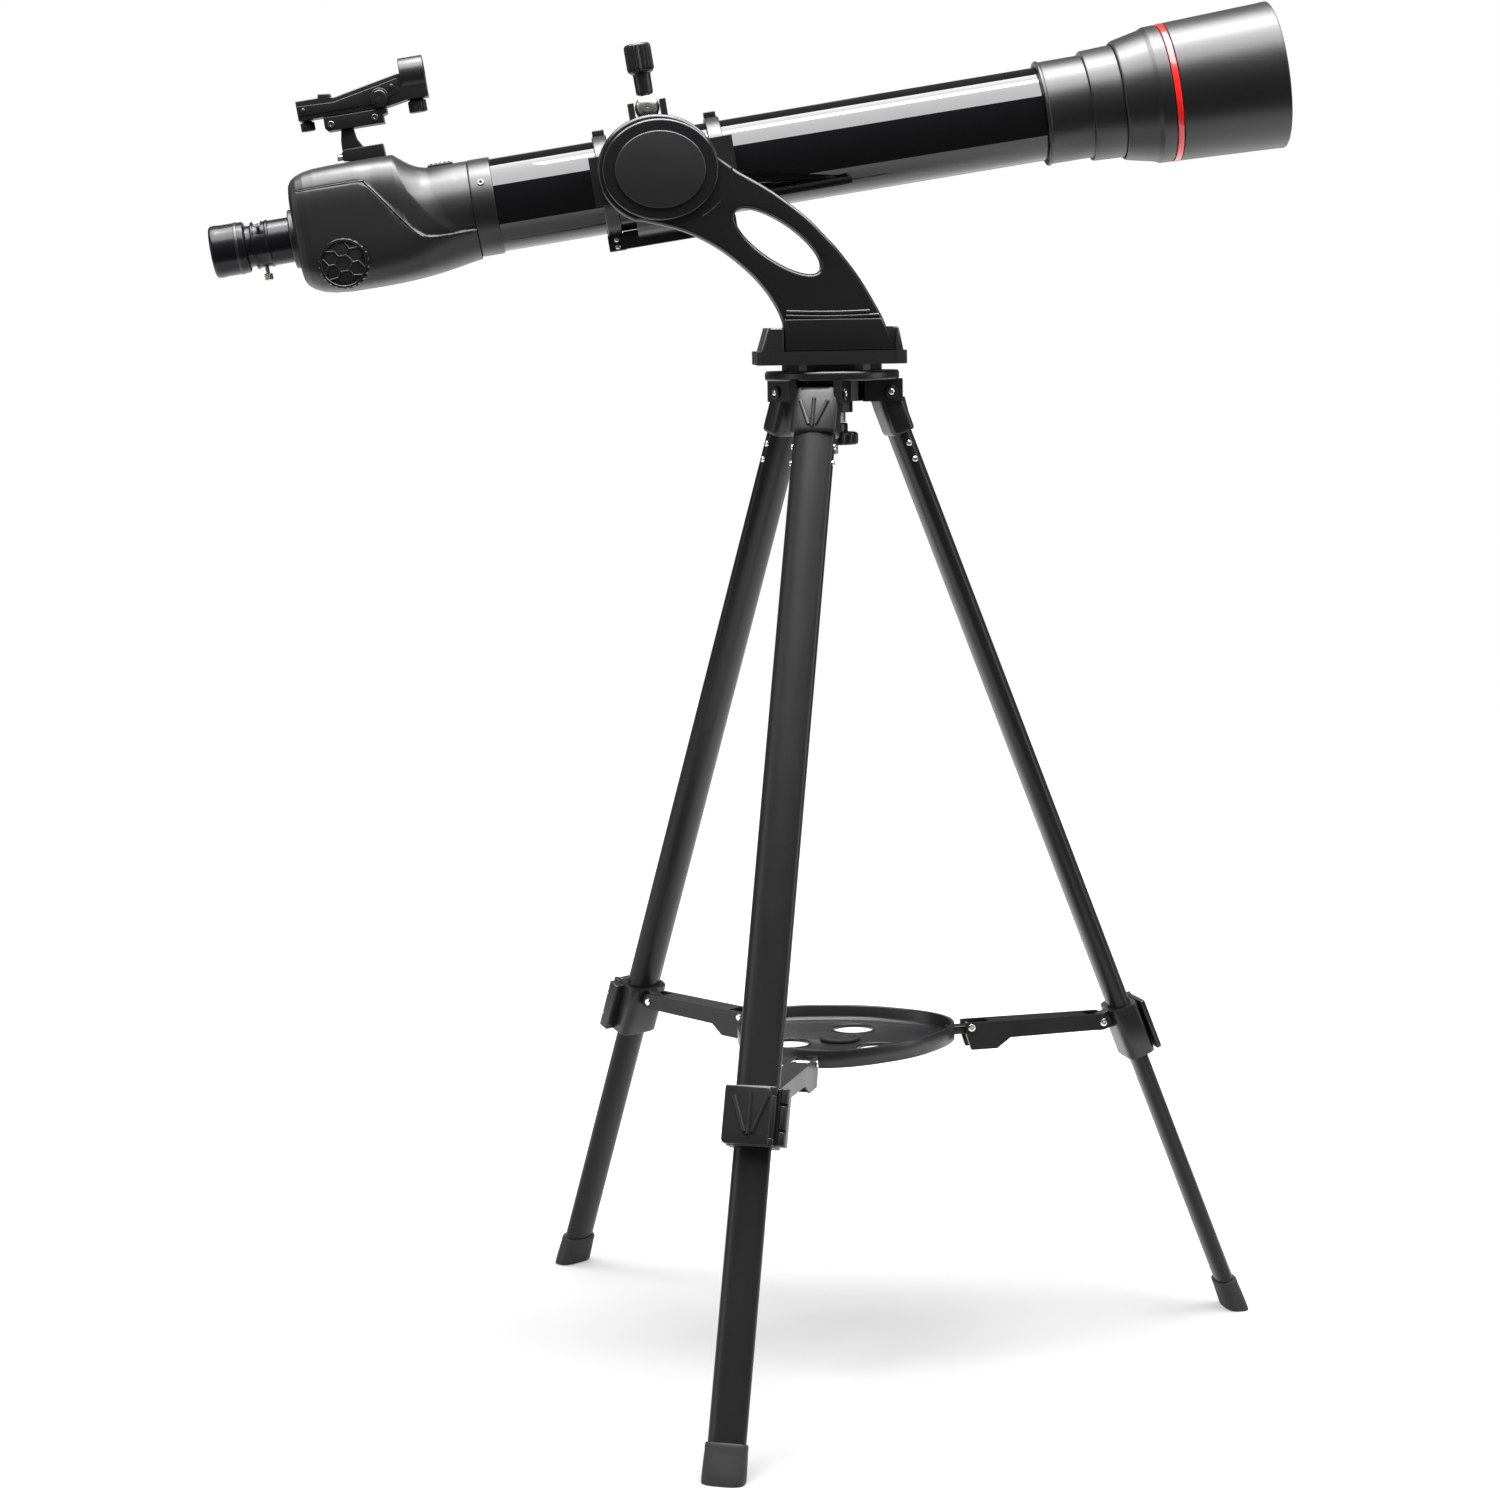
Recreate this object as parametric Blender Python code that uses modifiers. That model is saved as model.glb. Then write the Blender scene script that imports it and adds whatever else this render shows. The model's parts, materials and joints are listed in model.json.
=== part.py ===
"""A straight-through refractor on a single-arm alt-azimuth mount and a folding aluminium tripod.

Units are metres, +Z is up and the optical axis points along +X, tilted up by ALTITUDE.
Sizes are written in millimetres and multiplied by MM where the geometry is made.
"""
import math

import bmesh
import bpy
from mathutils import Euler, Matrix, Vector

MM = 0.001
GAP = 0.3                      # clearance between touching pieces

# Driving sizes, in millimetres and radians.
AXIS_X, AXIS_Y = 58.48, 29.73   # the azimuth axis, from the centre of the footprint
ALTITUDE = math.radians(8.59)  # how far the tube points up at rest
TUBE_R = 35.0
TUBE_Y = 30.0                  # the tube hangs beside the azimuth axis
TUBE_Z = 927.0                 # height of the optical axis above the azimuth axis
PIVOT_S, PIVOT_H = -129.0, 2.3  # the altitude axis, along and above the optical axis

HUB_TOP = 761.0
LEG_AZIMUTH = math.radians(-19.12) # of the front leg, from -Y towards +X
LEG_TILT = math.radians(21.16)
LEG_PIVOT_R, LEG_PIVOT_Z = 40.5, 744.7
LEG_LENGTH = 798.5             # from the hip bolt to the sole of the foot
UPPER_W, UPPER_T, WALL = 31.0, 16.0, 1.3
LOWER_W, LOWER_T = 27.0, 12.6
COLLAR_TOP, COLLAR_END = 521.0, 565.0
HINGE_Y, HINGE_D = -19.0, 528.5  # the brace hinge, behind and down the leg
BRACE_INNER_R = 104.2          # where the brace arms meet the tray
TRAY_BOTTOM, TRAY_TOP = 241.0, 254.5
LEG_NAMES = ("front", "left", "right")
ROUND = 28                     # sides on a turned piece


def material(name, colour, roughness, metallic=0.0):
    made = bpy.data.materials.new(name)
    made.use_nodes = True
    shader = made.node_tree.nodes["Principled BSDF"]
    shader.inputs["Base Color"].default_value = (*colour, 1.0)
    shader.inputs["Roughness"].default_value = roughness
    shader.inputs["Metallic"].default_value = metallic
    return made


def clear_scene():
    for old in list(bpy.data.objects):
        bpy.data.objects.remove(old, do_unlink=True)


def collection(name):
    made = bpy.data.collections.new(name)
    bpy.context.scene.collection.children.link(made)
    return made


def empty(name, location=(0, 0, 0), rotation=(0, 0, 0), parent=None):
    """A frame for pieces. The location is in millimetres."""
    made = bpy.data.objects.new(name, None)
    PARTS.objects.link(made)
    made.location = Vector(location) * MM
    made.rotation_euler = rotation
    made.parent = parent
    return made


def place(obj, finish, parent, location=(0, 0, 0), rotation=(0, 0, 0)):
    obj.data.materials.clear()
    obj.data.materials.append(finish)
    obj.parent = parent
    obj.location = Vector(location) * MM
    obj.rotation_euler = rotation
    return obj


def mesh_object(name, bm, smooth=True):
    mesh = bpy.data.meshes.new(name)
    bm.to_mesh(mesh)
    bm.free()
    if smooth:
        mesh.shade_smooth()
        mesh.set_sharp_from_angle(angle=math.radians(35))
    obj = bpy.data.objects.new(name, mesh)
    PARTS.objects.link(obj)
    return obj


def box(name, low, high, bevel=0.0):
    """A block between two corners, in millimetres, with its long edges rounded."""
    low, high = Vector(low) * MM, Vector(high) * MM
    bm = bmesh.new()
    size = high - low
    grow = Matrix.Translation((low + high) / 2) @ Matrix.Diagonal((*size, 1.0))
    bmesh.ops.create_cube(bm, size=1.0, matrix=grow)
    obj = mesh_object(name, bm, smooth=False)
    if bevel:
        rounding(obj, bevel)
    return obj


def rounding(obj, width, segments=2, angle=40):
    bevel = obj.modifiers.new("edges", "BEVEL")
    bevel.width = width * MM
    bevel.segments = segments
    bevel.limit_method = "ANGLE"
    bevel.angle_limit = math.radians(angle)
    return obj


def turned(name, profile, sides=ROUND, closed=False):
    """A profile of (radius, height) turned about Z. It runs down the outer side."""
    bm = bmesh.new()
    points = [bm.verts.new((r * MM, 0.0, z * MM)) for r, z in profile]
    pairs = list(zip(points, points[1:]))
    if closed:
        pairs.append((points[-1], points[0]))
    for a, b in pairs:
        bm.edges.new((a, b))
    obj = mesh_object(name, bm, smooth=False)
    screw = obj.modifiers.new("turn", "SCREW")
    screw.angle = math.tau
    screw.steps = screw.render_steps = sides
    screw.use_merge_vertices = True
    screw.merge_threshold = 1e-5
    screw.use_smooth_shade = True
    return obj


def ring(name, outer, inner, low, high, sides=ROUND):
    return turned(name, [(outer, high), (outer, low), (inner, low), (inner, high)], sides, True)


def rod(name, radius, low, high, sides=16):
    return turned(name, [(0, high), (radius, high), (radius, low), (0, low)], sides)


def slab(name, outlines, low, high):
    """A flat outline with holes in it, in XY, between two heights."""
    curve = bpy.data.curves.new(name, "CURVE")
    curve.dimensions = "2D"
    curve.fill_mode = "BOTH"
    curve.extrude = (high - low) / 2 * MM
    for outline in outlines:
        spline = curve.splines.new("POLY")
        spline.points.add(len(outline) - 1)
        for point, (x, y) in zip(spline.points, outline):
            point.co = (x * MM, y * MM, 0.0, 1.0)
        spline.use_cyclic_u = True
    flat = bpy.data.objects.new(name, curve)
    PARTS.objects.link(flat)
    flat.location.z = (low + high) / 2 * MM
    return as_mesh(flat)


def as_mesh(source):
    """Turns a curve, or a piece with modifiers, into a plain welded mesh."""
    bpy.context.view_layer.update()
    ready = source.evaluated_get(bpy.context.evaluated_depsgraph_get())
    mesh = bpy.data.meshes.new_from_object(ready)
    mesh.transform(source.matrix_world)
    bm = bmesh.new()
    bm.from_mesh(mesh)
    bmesh.ops.remove_doubles(bm, verts=bm.verts, dist=1e-6)
    bm.to_mesh(mesh)
    bm.free()
    name = source.name
    bpy.data.objects.remove(source)
    obj = bpy.data.objects.new(name, mesh)
    obj.data.name = name
    PARTS.objects.link(obj)
    mesh.shade_smooth()
    mesh.set_sharp_from_angle(angle=math.radians(35))
    return obj


def turn(obj, rotation=(0, 0, 0), shift=(0, 0, 0)):
    """Moves the geometry itself, so that the piece's origin stays at its frame."""
    obj = as_mesh(obj)
    obj.data.transform(Matrix.Translation(Vector(shift) * MM) @ Euler(rotation).to_matrix().to_4x4())
    return obj


def combine(base, others, operation):
    """Joins or cuts whole pieces with the exact solver and bakes the result."""
    for other in others:
        other = as_mesh(other)
        CUTTERS.objects.link(other)
        PARTS.objects.unlink(other)
        other.hide_render = True
        other.display_type = "WIRE"
        cut = base.modifiers.new(operation.lower(), "BOOLEAN")
        cut.operation = operation
        cut.object = other
        base = as_mesh(base)
        bpy.data.objects.remove(other)
    return base


def join(base, *others):
    return combine(base, others, "UNION")


def cut(base, *others):
    return combine(base, others, "DIFFERENCE")


def oval(width, height, count=24, centre=(0.0, 0.0), tilt=0.0):
    points = []
    for i in range(count):
        a = math.tau * i / count
        x, y = width / 2 * math.cos(a), height / 2 * math.sin(a)
        points.append((centre[0] + x * math.cos(tilt) - y * math.sin(tilt),
                       centre[1] + x * math.sin(tilt) + y * math.cos(tilt)))
    return points


def flat_oval(width, height, power=2.6, count=20):
    """A leg tube's section: an oval with fuller shoulders than an ellipse."""
    points = []
    for i in range(count):
        a = math.tau * i / count
        c, s = math.cos(a), math.sin(a)
        points.append((width / 2 * math.copysign(abs(c) ** (2 / power), c),
                       height / 2 * math.copysign(abs(s) ** (2 / power), s)))
    return points


def rounded_rect(left, right, bottom, top, radius, steps=4):
    points = []
    corners = ((right, top, 0), (left, top, 90), (left, bottom, 180), (right, bottom, 270))
    for x, y, start in corners:
        cx = x - radius if x == right else x + radius
        cy = y - radius if y == top else y + radius
        for i in range(steps + 1):
            a = math.radians(start + 90 * i / steps)
            points.append((cx + radius * math.cos(a), cy + radius * math.sin(a)))
    return points


def arc_through(a, b, c, count=8):
    """Points on the circle from a through b to c."""
    (ax, ay), (bx, by), (cx, cy) = a, b, c
    d = 2 * (ax * (by - cy) + bx * (cy - ay) + cx * (ay - by))
    ux = ((ax**2 + ay**2) * (by - cy) + (bx**2 + by**2) * (cy - ay) + (cx**2 + cy**2) * (ay - by)) / d
    uy = ((ax**2 + ay**2) * (cx - bx) + (bx**2 + by**2) * (ax - cx) + (cx**2 + cy**2) * (bx - ax)) / d
    radius = math.hypot(ax - ux, ay - uy)
    start, middle, end = (math.atan2(y - uy, x - ux) for x, y in (a, b, c))
    sweep = (end - start) % math.tau
    if (middle - start) % math.tau > sweep:
        sweep -= math.tau
    return [(ux + radius * math.cos(start + sweep * i / count),
             uy + radius * math.sin(start + sweep * i / count)) for i in range(count + 1)]


def loft(name, sections):
    """A closed skin through rings of the same number of points, capped at both ends."""
    bm = bmesh.new()
    rings = [[bm.verts.new(Vector(p) * MM) for p in section] for section in sections]
    count = len(rings[0])
    for near, far in zip(rings, rings[1:]):
        for i in range(count):
            j = (i + 1) % count
            bm.faces.new((near[i], near[j], far[j], far[i]))
    bm.faces.new(list(reversed(rings[0])))
    bm.faces.new(rings[-1])
    bmesh.ops.recalc_face_normals(bm, faces=bm.faces)
    return mesh_object(name, bm)


# ---------------------------------------------------------------- tripod

def hub_frame():
    return empty("azimuth_axis", (AXIS_X, AXIS_Y, 0))


def leg_directions():
    """The outward azimuths of the front, left and right legs, from -Y towards +X."""
    return [LEG_AZIMUTH + turn_by for turn_by in (0.0, -math.tau / 3, math.tau / 3)]


def tripod_hub(frame):
    """The cast hub: a disc, a boss for the azimuth bolt and two cheeks for each leg."""
    hub = ring("tripod_hub", 50, 4.6, HUB_TOP - 7, HUB_TOP, 40)
    hub = as_mesh(hub)
    boss = ring("boss", 24, 4.6, 738, HUB_TOP - 6.5)
    nose = ring("nose", 15.5, 4.6, 729.5, 738.5)
    pieces = [boss, nose]
    for azimuth in leg_directions():
        for side in (-1, 1):
            x = sorted((side * 14.4, side * 20.0))
            cheek = box("cheek", (x[0], 20, 737.5), (x[1], 50, HUB_TOP - 6.5))
            pieces.append(turn(cheek, (0, 0, azimuth + math.pi)))
    hub = join(hub, *pieces)
    holes = []
    for azimuth in leg_directions():
        hole = turn(rod("hole", 3.3, -30, 30, 12), (0, math.pi / 2, 0),
                    (0, LEG_PIVOT_R, LEG_PIVOT_Z))
        holes.append(turn(hole, (0, 0, azimuth + math.pi)))
    return place(cut(hub, *holes), PLASTIC, frame)


def leg(frame, name, azimuth):
    """One leg, drawn hanging from its hip bolt: -Z runs down it and +Y faces out."""
    pivot = (LEG_PIVOT_R * math.sin(azimuth), -LEG_PIVOT_R * math.cos(azimuth), LEG_PIVOT_Z)
    hip = empty(f"hip_{name}", pivot, (LEG_TILT, 0, azimuth + math.pi), frame)

    bolt = turned(f"leg_{name}_bolt", [(0, 22.6), (4, 22.6), (4, 20.4), (2.9, 20.4), (2.9, -20.4),
                                       (4, -20.4), (4, -22.6), (0, -22.6)], 12)
    place(turn(bolt, (0, math.pi / 2, 0)), CHROME, hip)

    tongue = box("tongue", (-14, -7, -13.5), (14, 7, 0))
    knuckle = turn(rod("knuckle", 7, -14, 14, 20), (0, math.pi / 2, 0))
    sleeve = slab(f"leg_{name}_socket", [rounded_rect(-17.5, 17.5, -10, 10, 6)], -33, -12)
    socket = join(sleeve, tongue, knuckle)
    bore = slab("bore", [flat_oval(UPPER_W + 2 * GAP, UPPER_T + 2 * GAP)], -40, -16)
    bolt_hole = turn(rod("bolt_hole", 3.2, -20, 20, 12), (0, math.pi / 2, 0))
    place(cut(socket, bore, bolt_hole), PLASTIC, hip)

    upper = slab(f"leg_{name}_upper_tube",
                 [flat_oval(UPPER_W, UPPER_T), flat_oval(UPPER_W - 2 * WALL, UPPER_T - 2 * WALL)],
                 -544, -16.5)
    place(upper, ANODISED, hip)
    lower = slab(f"leg_{name}_lower_tube",
                 [flat_oval(LOWER_W, LOWER_T), flat_oval(LOWER_W - 2 * WALL, LOWER_T - 2 * WALL)],
                 -LEG_LENGTH + 14, -330)
    place(lower, ANODISED, hip)
    place(collar(name), PLASTIC, hip)
    place(lock_lever(name), PLASTIC, hip)
    place(foot(name), RUBBER, hip)
    brace_arm(hip, name)


def collar(name):
    """The clamp at the foot of the upper tube, with the brace lug and lever knuckles."""
    body = slab(f"leg_{name}_collar", [rounded_rect(-18.5, 18.5, -11.5, 11.5, 3)],
                -COLLAR_END, -COLLAR_TOP)
    lug = box("lug", (-5, -25, -HINGE_D - 6), (5, -10, -HINGE_D + 6))
    knuckles = [rod("knuckle", 3.0, low, high, 12) for low, high in ((-544.5, -540), (-565, -561.5))]
    knuckles = [turn(k, (0, 0, 0), (-16.2, 13.9, 0)) for k in knuckles]
    body = join(body, lug, *knuckles)
    above = slab("above", [flat_oval(UPPER_W + 2 * GAP, UPPER_T + 2 * GAP)], -544.5, -500)
    below = slab("below", [flat_oval(LOWER_W + 2 * GAP, LOWER_T + 2 * GAP)], -600, -540)
    pin = turn(rod("pin", 2.3, -10, 10, 12), (0, math.pi / 2, 0), (0, HINGE_Y, -HINGE_D))
    return cut(body, above, below, pin)


def lock_lever(name):
    """The flip lever that clamps the lower tube, on its own upright hinge."""
    plate = slab(f"leg_{name}_lock_lever", [rounded_rect(-15.6, 18.4, 12.0, 15.4, 1.2, 2)], -561, -545)
    barrel = turn(rod("barrel", 2.1, -561, -545, 12), (0, 0, 0), (-16.2, 13.9, 0))
    return join(plate, barrel)


def foot(name):
    """A rubber boot on the lower tube, cut level with the ground."""
    boot = slab(f"leg_{name}_foot", [flat_oval(31, 16.6)], -LEG_LENGTH - 6, -LEG_LENGTH + 27)
    bore = slab("bore", [flat_oval(LOWER_W + 2 * GAP, LOWER_T + 2 * GAP)], -LEG_LENGTH + 13.6, -700)
    ground = box("ground", (-30, -60, -40), (30, 60, 0))
    ground = turn(ground, (-LEG_TILT, 0, 0), (0, 0, -LEG_LENGTH))
    return cut(boot, bore, ground)


def hinge_radius():
    """How far the brace hinge is from the azimuth axis."""
    return LEG_PIVOT_R + HINGE_Y * math.cos(LEG_TILT) + HINGE_D * math.sin(LEG_TILT)


def brace_arm(hip, name):
    """A channel from the collar to the tray, forked at both ends, with a stop tab below."""
    reach = hinge_radius() - BRACE_INNER_R
    side = [(6.4, 0), (4.5, 4.5), (0, 6.5), (-reach - 4, 6.5), (-reach - 4, -3), (-reach, -15),
            (-reach + 21, -15), (-reach + 32, -7), (-14, -6), (0, -6), (4.5, -4.5)]
    arm = slab(f"leg_{name}_brace_arm", [side], -9.5, 9.5)
    outer_slot = box("outer_slot", (-13, -9, -6), (12, 9, 6))
    inner_slot = box("inner_slot", (-reach - 9, -20, -6.5), (-reach + 15, 12, 6.5))
    channel = box("channel", (-reach + 18, -20, -8), (-16, 4.5, 8))
    pin = turn(rod("pin", 2.3, -12, 12, 12))
    arm = cut(arm, outer_slot, inner_slot, channel, pin)
    # In its own frame the arm lies along X, with Y up. It hangs level from the sloping leg.
    arm = turn(arm, (math.pi / 2, 0, math.pi / 2))
    return place(arm, ANODISED, hip, (0, HINGE_Y, -HINGE_D), (-LEG_TILT, 0, 0))


def tray_radius(angle, tip, middle, power=1.6):
    """A rounded triangle: the radius at an angle from one of its tips."""
    return middle + (tip - middle) * ((1 + math.cos(3 * angle)) / 2) ** power


def tray_outline(inset=0.0, count=72):
    points = []
    for i in range(count):
        a = math.tau * i / count
        r = tray_radius(a, 91.0, 79.0) - inset
        points.append((r * math.sin(a + LEG_AZIMUTH), -r * math.cos(a + LEG_AZIMUTH)))
    return points


def accessory_tray(frame):
    tray = slab("accessory_tray", [tray_outline()], TRAY_BOTTOM, TRAY_TOP)
    tray = cut(tray, slab("pocket", [tray_outline(2.4)], TRAY_BOTTOM + 2.2, TRAY_TOP + 5))
    tongues = []
    for azimuth in leg_directions():
        tongue = box("tongue", (-5.5, 86, TRAY_BOTTOM), (5.5, 108.5, TRAY_BOTTOM + 9))
        tongues.append(turn(tongue, (0, 0, azimuth + math.pi)))
    tray = join(tray, *tongues)
    holes = [rod("centre_hole", 12, TRAY_BOTTOM - 5, TRAY_BOTTOM + 5, 24)]
    for azimuth in leg_directions():
        hole = rod("eyepiece_hole", 15.9, TRAY_BOTTOM - 5, TRAY_BOTTOM + 5, 28)
        a = azimuth + math.pi / 3
        holes.append(turn(hole, (0, 0, 0), (41 * math.sin(a), -41 * math.cos(a), 0)))
    return place(cut(tray, *holes), PLASTIC, frame)


# ---------------------------------------------------------------- mount

def mount_base(frame):
    """The block that turns on the hub: a ledge, a sloping body behind the arm and a spigot."""
    ledge = slab("mount_base", [rounded_rect(-58.5, 53.5, -48, 48, 8, 2)], 766, 776)
    low, high = (-55, 50, -15.4, 44), (-50, 46, -15.4, 39)
    sections = []
    for (left, right, near, far), z in ((low, 775.5), (high, 793.5)):
        sections.append([(x, y, z) for x, y in rounded_rect(left, right, near, far, 5, 2)])
    body = loft("body", sections)
    spigot = rod("spigot", 38, HUB_TOP + GAP, 766.5, 32)
    base = join(ledge, body, spigot)
    return place(cut(base, rod("bolt_hole", 4.5, 740, 785)), PLASTIC, frame)


def azimuth_bolt(frame):
    profile = [(0, 784), (4.1, 784), (4.1, 729.2), (10, 729.2), (10, 722), (4.1, 722), (4.1, 698), (0, 698)]
    place(turned("azimuth_bolt", profile, 20), CHROME, frame)
    knob = turned("azimuth_lock_knob", [(11.5, 721.5), (11.5, 714.5), (18, 714.5), (19.5, 713), (19.5, 706.5),
                                        (18, 705), (4.5, 705), (4.5, 721.5)], 32, True)
    place(knob, PLASTIC, frame)


def altitude_pivot():
    """The altitude axis in the plane of the azimuth axis, as (x, z)."""
    x = PIVOT_S * math.cos(ALTITUDE) - PIVOT_H * math.sin(ALTITUDE)
    z = TUBE_Z + PIVOT_S * math.sin(ALTITUDE) + PIVOT_H * math.cos(ALTITUDE)
    return x, z


def arm_outline():
    """The swan-neck arm seen from the side: an oval head, two sweeping edges and a square foot."""
    px, pz = altitude_pivot()
    head = []
    start, end = math.radians(14), math.radians(247)
    for i in range(25):
        a = start + (end - start) * i / 24
        head.append((px - 1.5 + 45 * math.cos(a), pz + 40.5 * math.sin(a)))
    belly = arc_through((-134, 871.5), (-81, 849), (-38.5, 797), 9)
    foot_edge = [(-37, 776.3), (44, 776.3)]
    back = arc_through((37.5, 797), (-8, 862.5), (-72, 910), 9)
    return head + belly + foot_edge + back


def mount_arm(frame):
    px, pz = altitude_pivot()
    window = oval(73, 29, 32, (-41, 859.5), math.radians(-35))
    arm = slab("mount_arm", [arm_outline(), window], 18, 42)
    foot_band = box("foot_band", (-37.6, 799, 41.5), (36, 806, 43.5))
    head_step = slab("head_step", [oval(84, 73, 36, (px, pz))], 41.5, 45)
    arm = join(arm, head_step, foot_band)
    bearing = turn(rod("bearing", 6.3, 10, 39, 20), (0, 0, 0), (px, pz, 0))
    arm = cut(arm, bearing)
    arm = turn(arm, (math.pi / 2, 0, 0))
    place(arm, PLASTIC, frame)
    cap = slab("arm_boss_cap", [oval(66, 55, 36, (px, pz))], 45 + GAP, 47.5)
    place(turn(cap, (math.pi / 2, 0, 0)), PLASTIC, frame)


def cradle(axis):
    """The two rings and the saddle that hold the tube, with the altitude disc and axle."""
    for name, low in (("rear", -174.5), ("front", -88.5)):
        band = ring(f"tube_ring_{name}", 38.4, TUBE_R + GAP, low, low + 11, 40)
        place(turn(band, (0, math.pi / 2, 0)), ANODISED, axis)
    plate = box("cradle_saddle", (-180, -43.8, -15), (-71.5, -38.7, 21))
    hole = turn(rod("hole", 6.3, -50, -30, 20), (0, 0, 0), (PIVOT_S, PIVOT_H, 0))
    hole = turn(hole, (math.pi / 2, 0, 0), (0, -80, 0))
    plate = cut(plate, hole)
    wrap = turn(ring("wrap", 43.8, 38.7, -152, -106, 48), (0, math.pi / 2, 0))
    wrap = cut(wrap, box("above", (-160, -60, -12), (-100, 60, 60)), box("beyond", (-160, 2, -60), (-100, 60, 0)))
    bar = box("bar", (-175, -9, -48.5), (-78, 9, -38.9))
    place(join(plate, wrap, bar), PLASTIC, axis)
    disc = rod("altitude_disc", 31, 44.1, 47.7, 40)
    hole = rod("hole", 6.3, 40, 50, 20)
    place(turn(cut(as_mesh(disc), hole), (math.pi / 2, 0, 0), (PIVOT_S, 0, PIVOT_H)), PLASTIC, axis)
    axle = rod("altitude_axle", 6.0, 38.9, 68.5, 20)
    place(turn(axle, (math.pi / 2, 0, 0), (PIVOT_S, 0, PIVOT_H)), CHROME, axis)


def slow_motion(axis):
    """The fork on top of the tube, its chrome barrel and the long-stemmed fine adjustment knob."""
    s = PIVOT_S
    fork = box("slow_motion_fork", (s - 14.5, -9, 38.7), (s + 14.5, 9, 57.5))
    gap = box("gap", (s - 9.8, -12, 43), (s + 9.8, 12, 70))
    place(cut(fork, gap), PLASTIC, axis)
    barrel = turn(rod("barrel", 9.4, -8.5, 8.5, 28), (math.pi / 2, 0, 0), (s, 0, 53))
    barrel.name = "slow_motion_trunnion"
    hole = turn(rod("hole", 3.4, 30, 80), (0, 0, 0), (s, 0, 0))
    place(cut(barrel, hole), CHROME, axis)
    knob = turned("slow_motion_screw", [(0, 101), (8.6, 101), (10.2, 99), (10.2, 81), (8.4, 78.5), (6.7, 78.5),
                                       (6.7, 63), (3.1, 63), (3.1, 44.5), (0, 44.5)], 24)
    place(turn(knob, (0, 0, 0), (s, 0, 0)), PLASTIC, axis)


# ---------------------------------------------------------------- optical tube

def along_tube(obj, finish, axis):
    """Turned pieces are drawn about Z with their height as the distance along the tube."""
    return place(turn(obj, (0, math.pi / 2, 0)), finish, axis)


def lens(name, radius, low, high, edge):
    """A lens with two domed faces and a cylindrical edge."""
    middle = (low + high) / 2
    count = 4
    front = [(radius * i / count, middle + edge / 2 + (high - middle - edge / 2) * (1 - (i / count) ** 2))
             for i in range(count + 1)]
    back = [(radius * i / count, middle - edge / 2 - (middle - edge / 2 - low) * (1 - (i / count) ** 2))
            for i in range(count, -1, -1)]
    return turned(name, front + back, 24)


def optical_tube(axis):
    along_tube(ring("main_tube", TUBE_R, TUBE_R - 1.4, -268, 175.5, 48), GLOSS, axis)
    cell = [(41.6, 234), (41.6, 224.6), (42, 224), (42, 201.5), (41, 200.5), (38.8, 200.5), (38.8, 165.5),
            (38.2, 165), (TUBE_R + GAP, 165), (TUBE_R + GAP, 176), (33, 176), (33, 207), (36.2, 207), (36.2, 234)]
    along_tube(turned("objective_cell", cell, 40, True), PLASTIC, axis)
    along_tube(lens("objective_lens_front", 35.8, 213.6, 222.5, 4), GLASS, axis)
    along_tube(lens("objective_lens_rear", 35.8, 207.4, 212.6, 4.6), GLASS, axis)
    shield = [(55.4, 347.5), (55.4, 346), (52.3, 265.6), (50.4, 265.6), (50.4, 260.4), (51.7, 260.4),
              (51.2, 248.6), (50, 247.2), (44.4, 225), (43.6, 224.3), (42 + GAP, 224.3), (42 + GAP, 235),
              (48.4, 252), (53.2, 346.5), (53.8, 347.5)]
    along_tube(turned("dew_shield", shield, 44, True), PLASTIC, axis)
    along_tube(ring("red_ring", 52.4, 50.7, 260.8, 265.2, 44), RED, axis)
    along_tube(ring("tube_collar", 36.6, TUBE_R + GAP, -270.6, -253.4, 48), PLASTIC, axis)


def housing_section(s, half_width, top, bottom, corner, inset=0.0):
    outline = rounded_rect(-half_width + inset, half_width - inset, bottom + inset, top - inset,
                           max(corner - inset, 2.0), 4)
    return [(s, y, z) for y, z in outline]


def rear_housing(axis):
    """The prism housing: round at the tube, boxy at the eyepiece end, with a raised back."""
    shape = [(-271.0, 36.4, 36.3, -38.0, 34), (-290, 36.8, 36.4, -41, 33), (-302, 37.2, 37.0, -42.8, 30),
             (-312, 38.5, 43.5, -44.2, 25), (-320, 39.5, 49.0, -45.0, 20), (-350, 40.0, 49.4, -45.8, 18),
             (-378, 39.5, 49.2, -45.6, 17), (-392, 38.5, 48.2, -43.6, 17), (-400, 36.5, 45.2, -39.6, 16),
             (-405.2, 34.0, 41.5, -34.5, 15)]
    body = loft("rear_housing", [housing_section(*row) for row in shape])
    room = [(s, w, t, b, c, 2.4) for s, w, t, b, c in shape[1:-1]]
    room = [(-274.0, 33, 33, -33, 31, 0.0)] + room + [(-402.6, 36.5, 45, -38, 16, 4.0)]
    hollow = loft("hollow", [housing_section(*row) for row in room])
    spigot = turn(rod("spigot", 33.2, -275.3, -262, 44), (0, math.pi / 2, 0))
    eyepiece_bore = turn(rod("bore", 17.6, -420, -395, 28), (0, math.pi / 2, 0))
    tube_bore = turn(rod("bore", 30.4, -292, -255, 40), (0, math.pi / 2, 0))
    shaft_bore = turn(rod("shaft_bore", 2.8, -60, 60, 16), (math.pi / 2, 0, 0), (FOCUS_S, 0, FOCUS_H))
    body = cut(body, hollow)
    flange = turn(rod("flange", 22.2, -410.3, -403.3, 36), (0, math.pi / 2, 0))
    body = join(body, spigot, flange)
    body = cut(body, eyepiece_bore, tube_bore, shaft_bore)
    place(body, PLASTIC, axis)


FOCUS_S, FOCUS_H = -372.0, -25.5   # the focus shaft
PINION_R = 5.5


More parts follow.
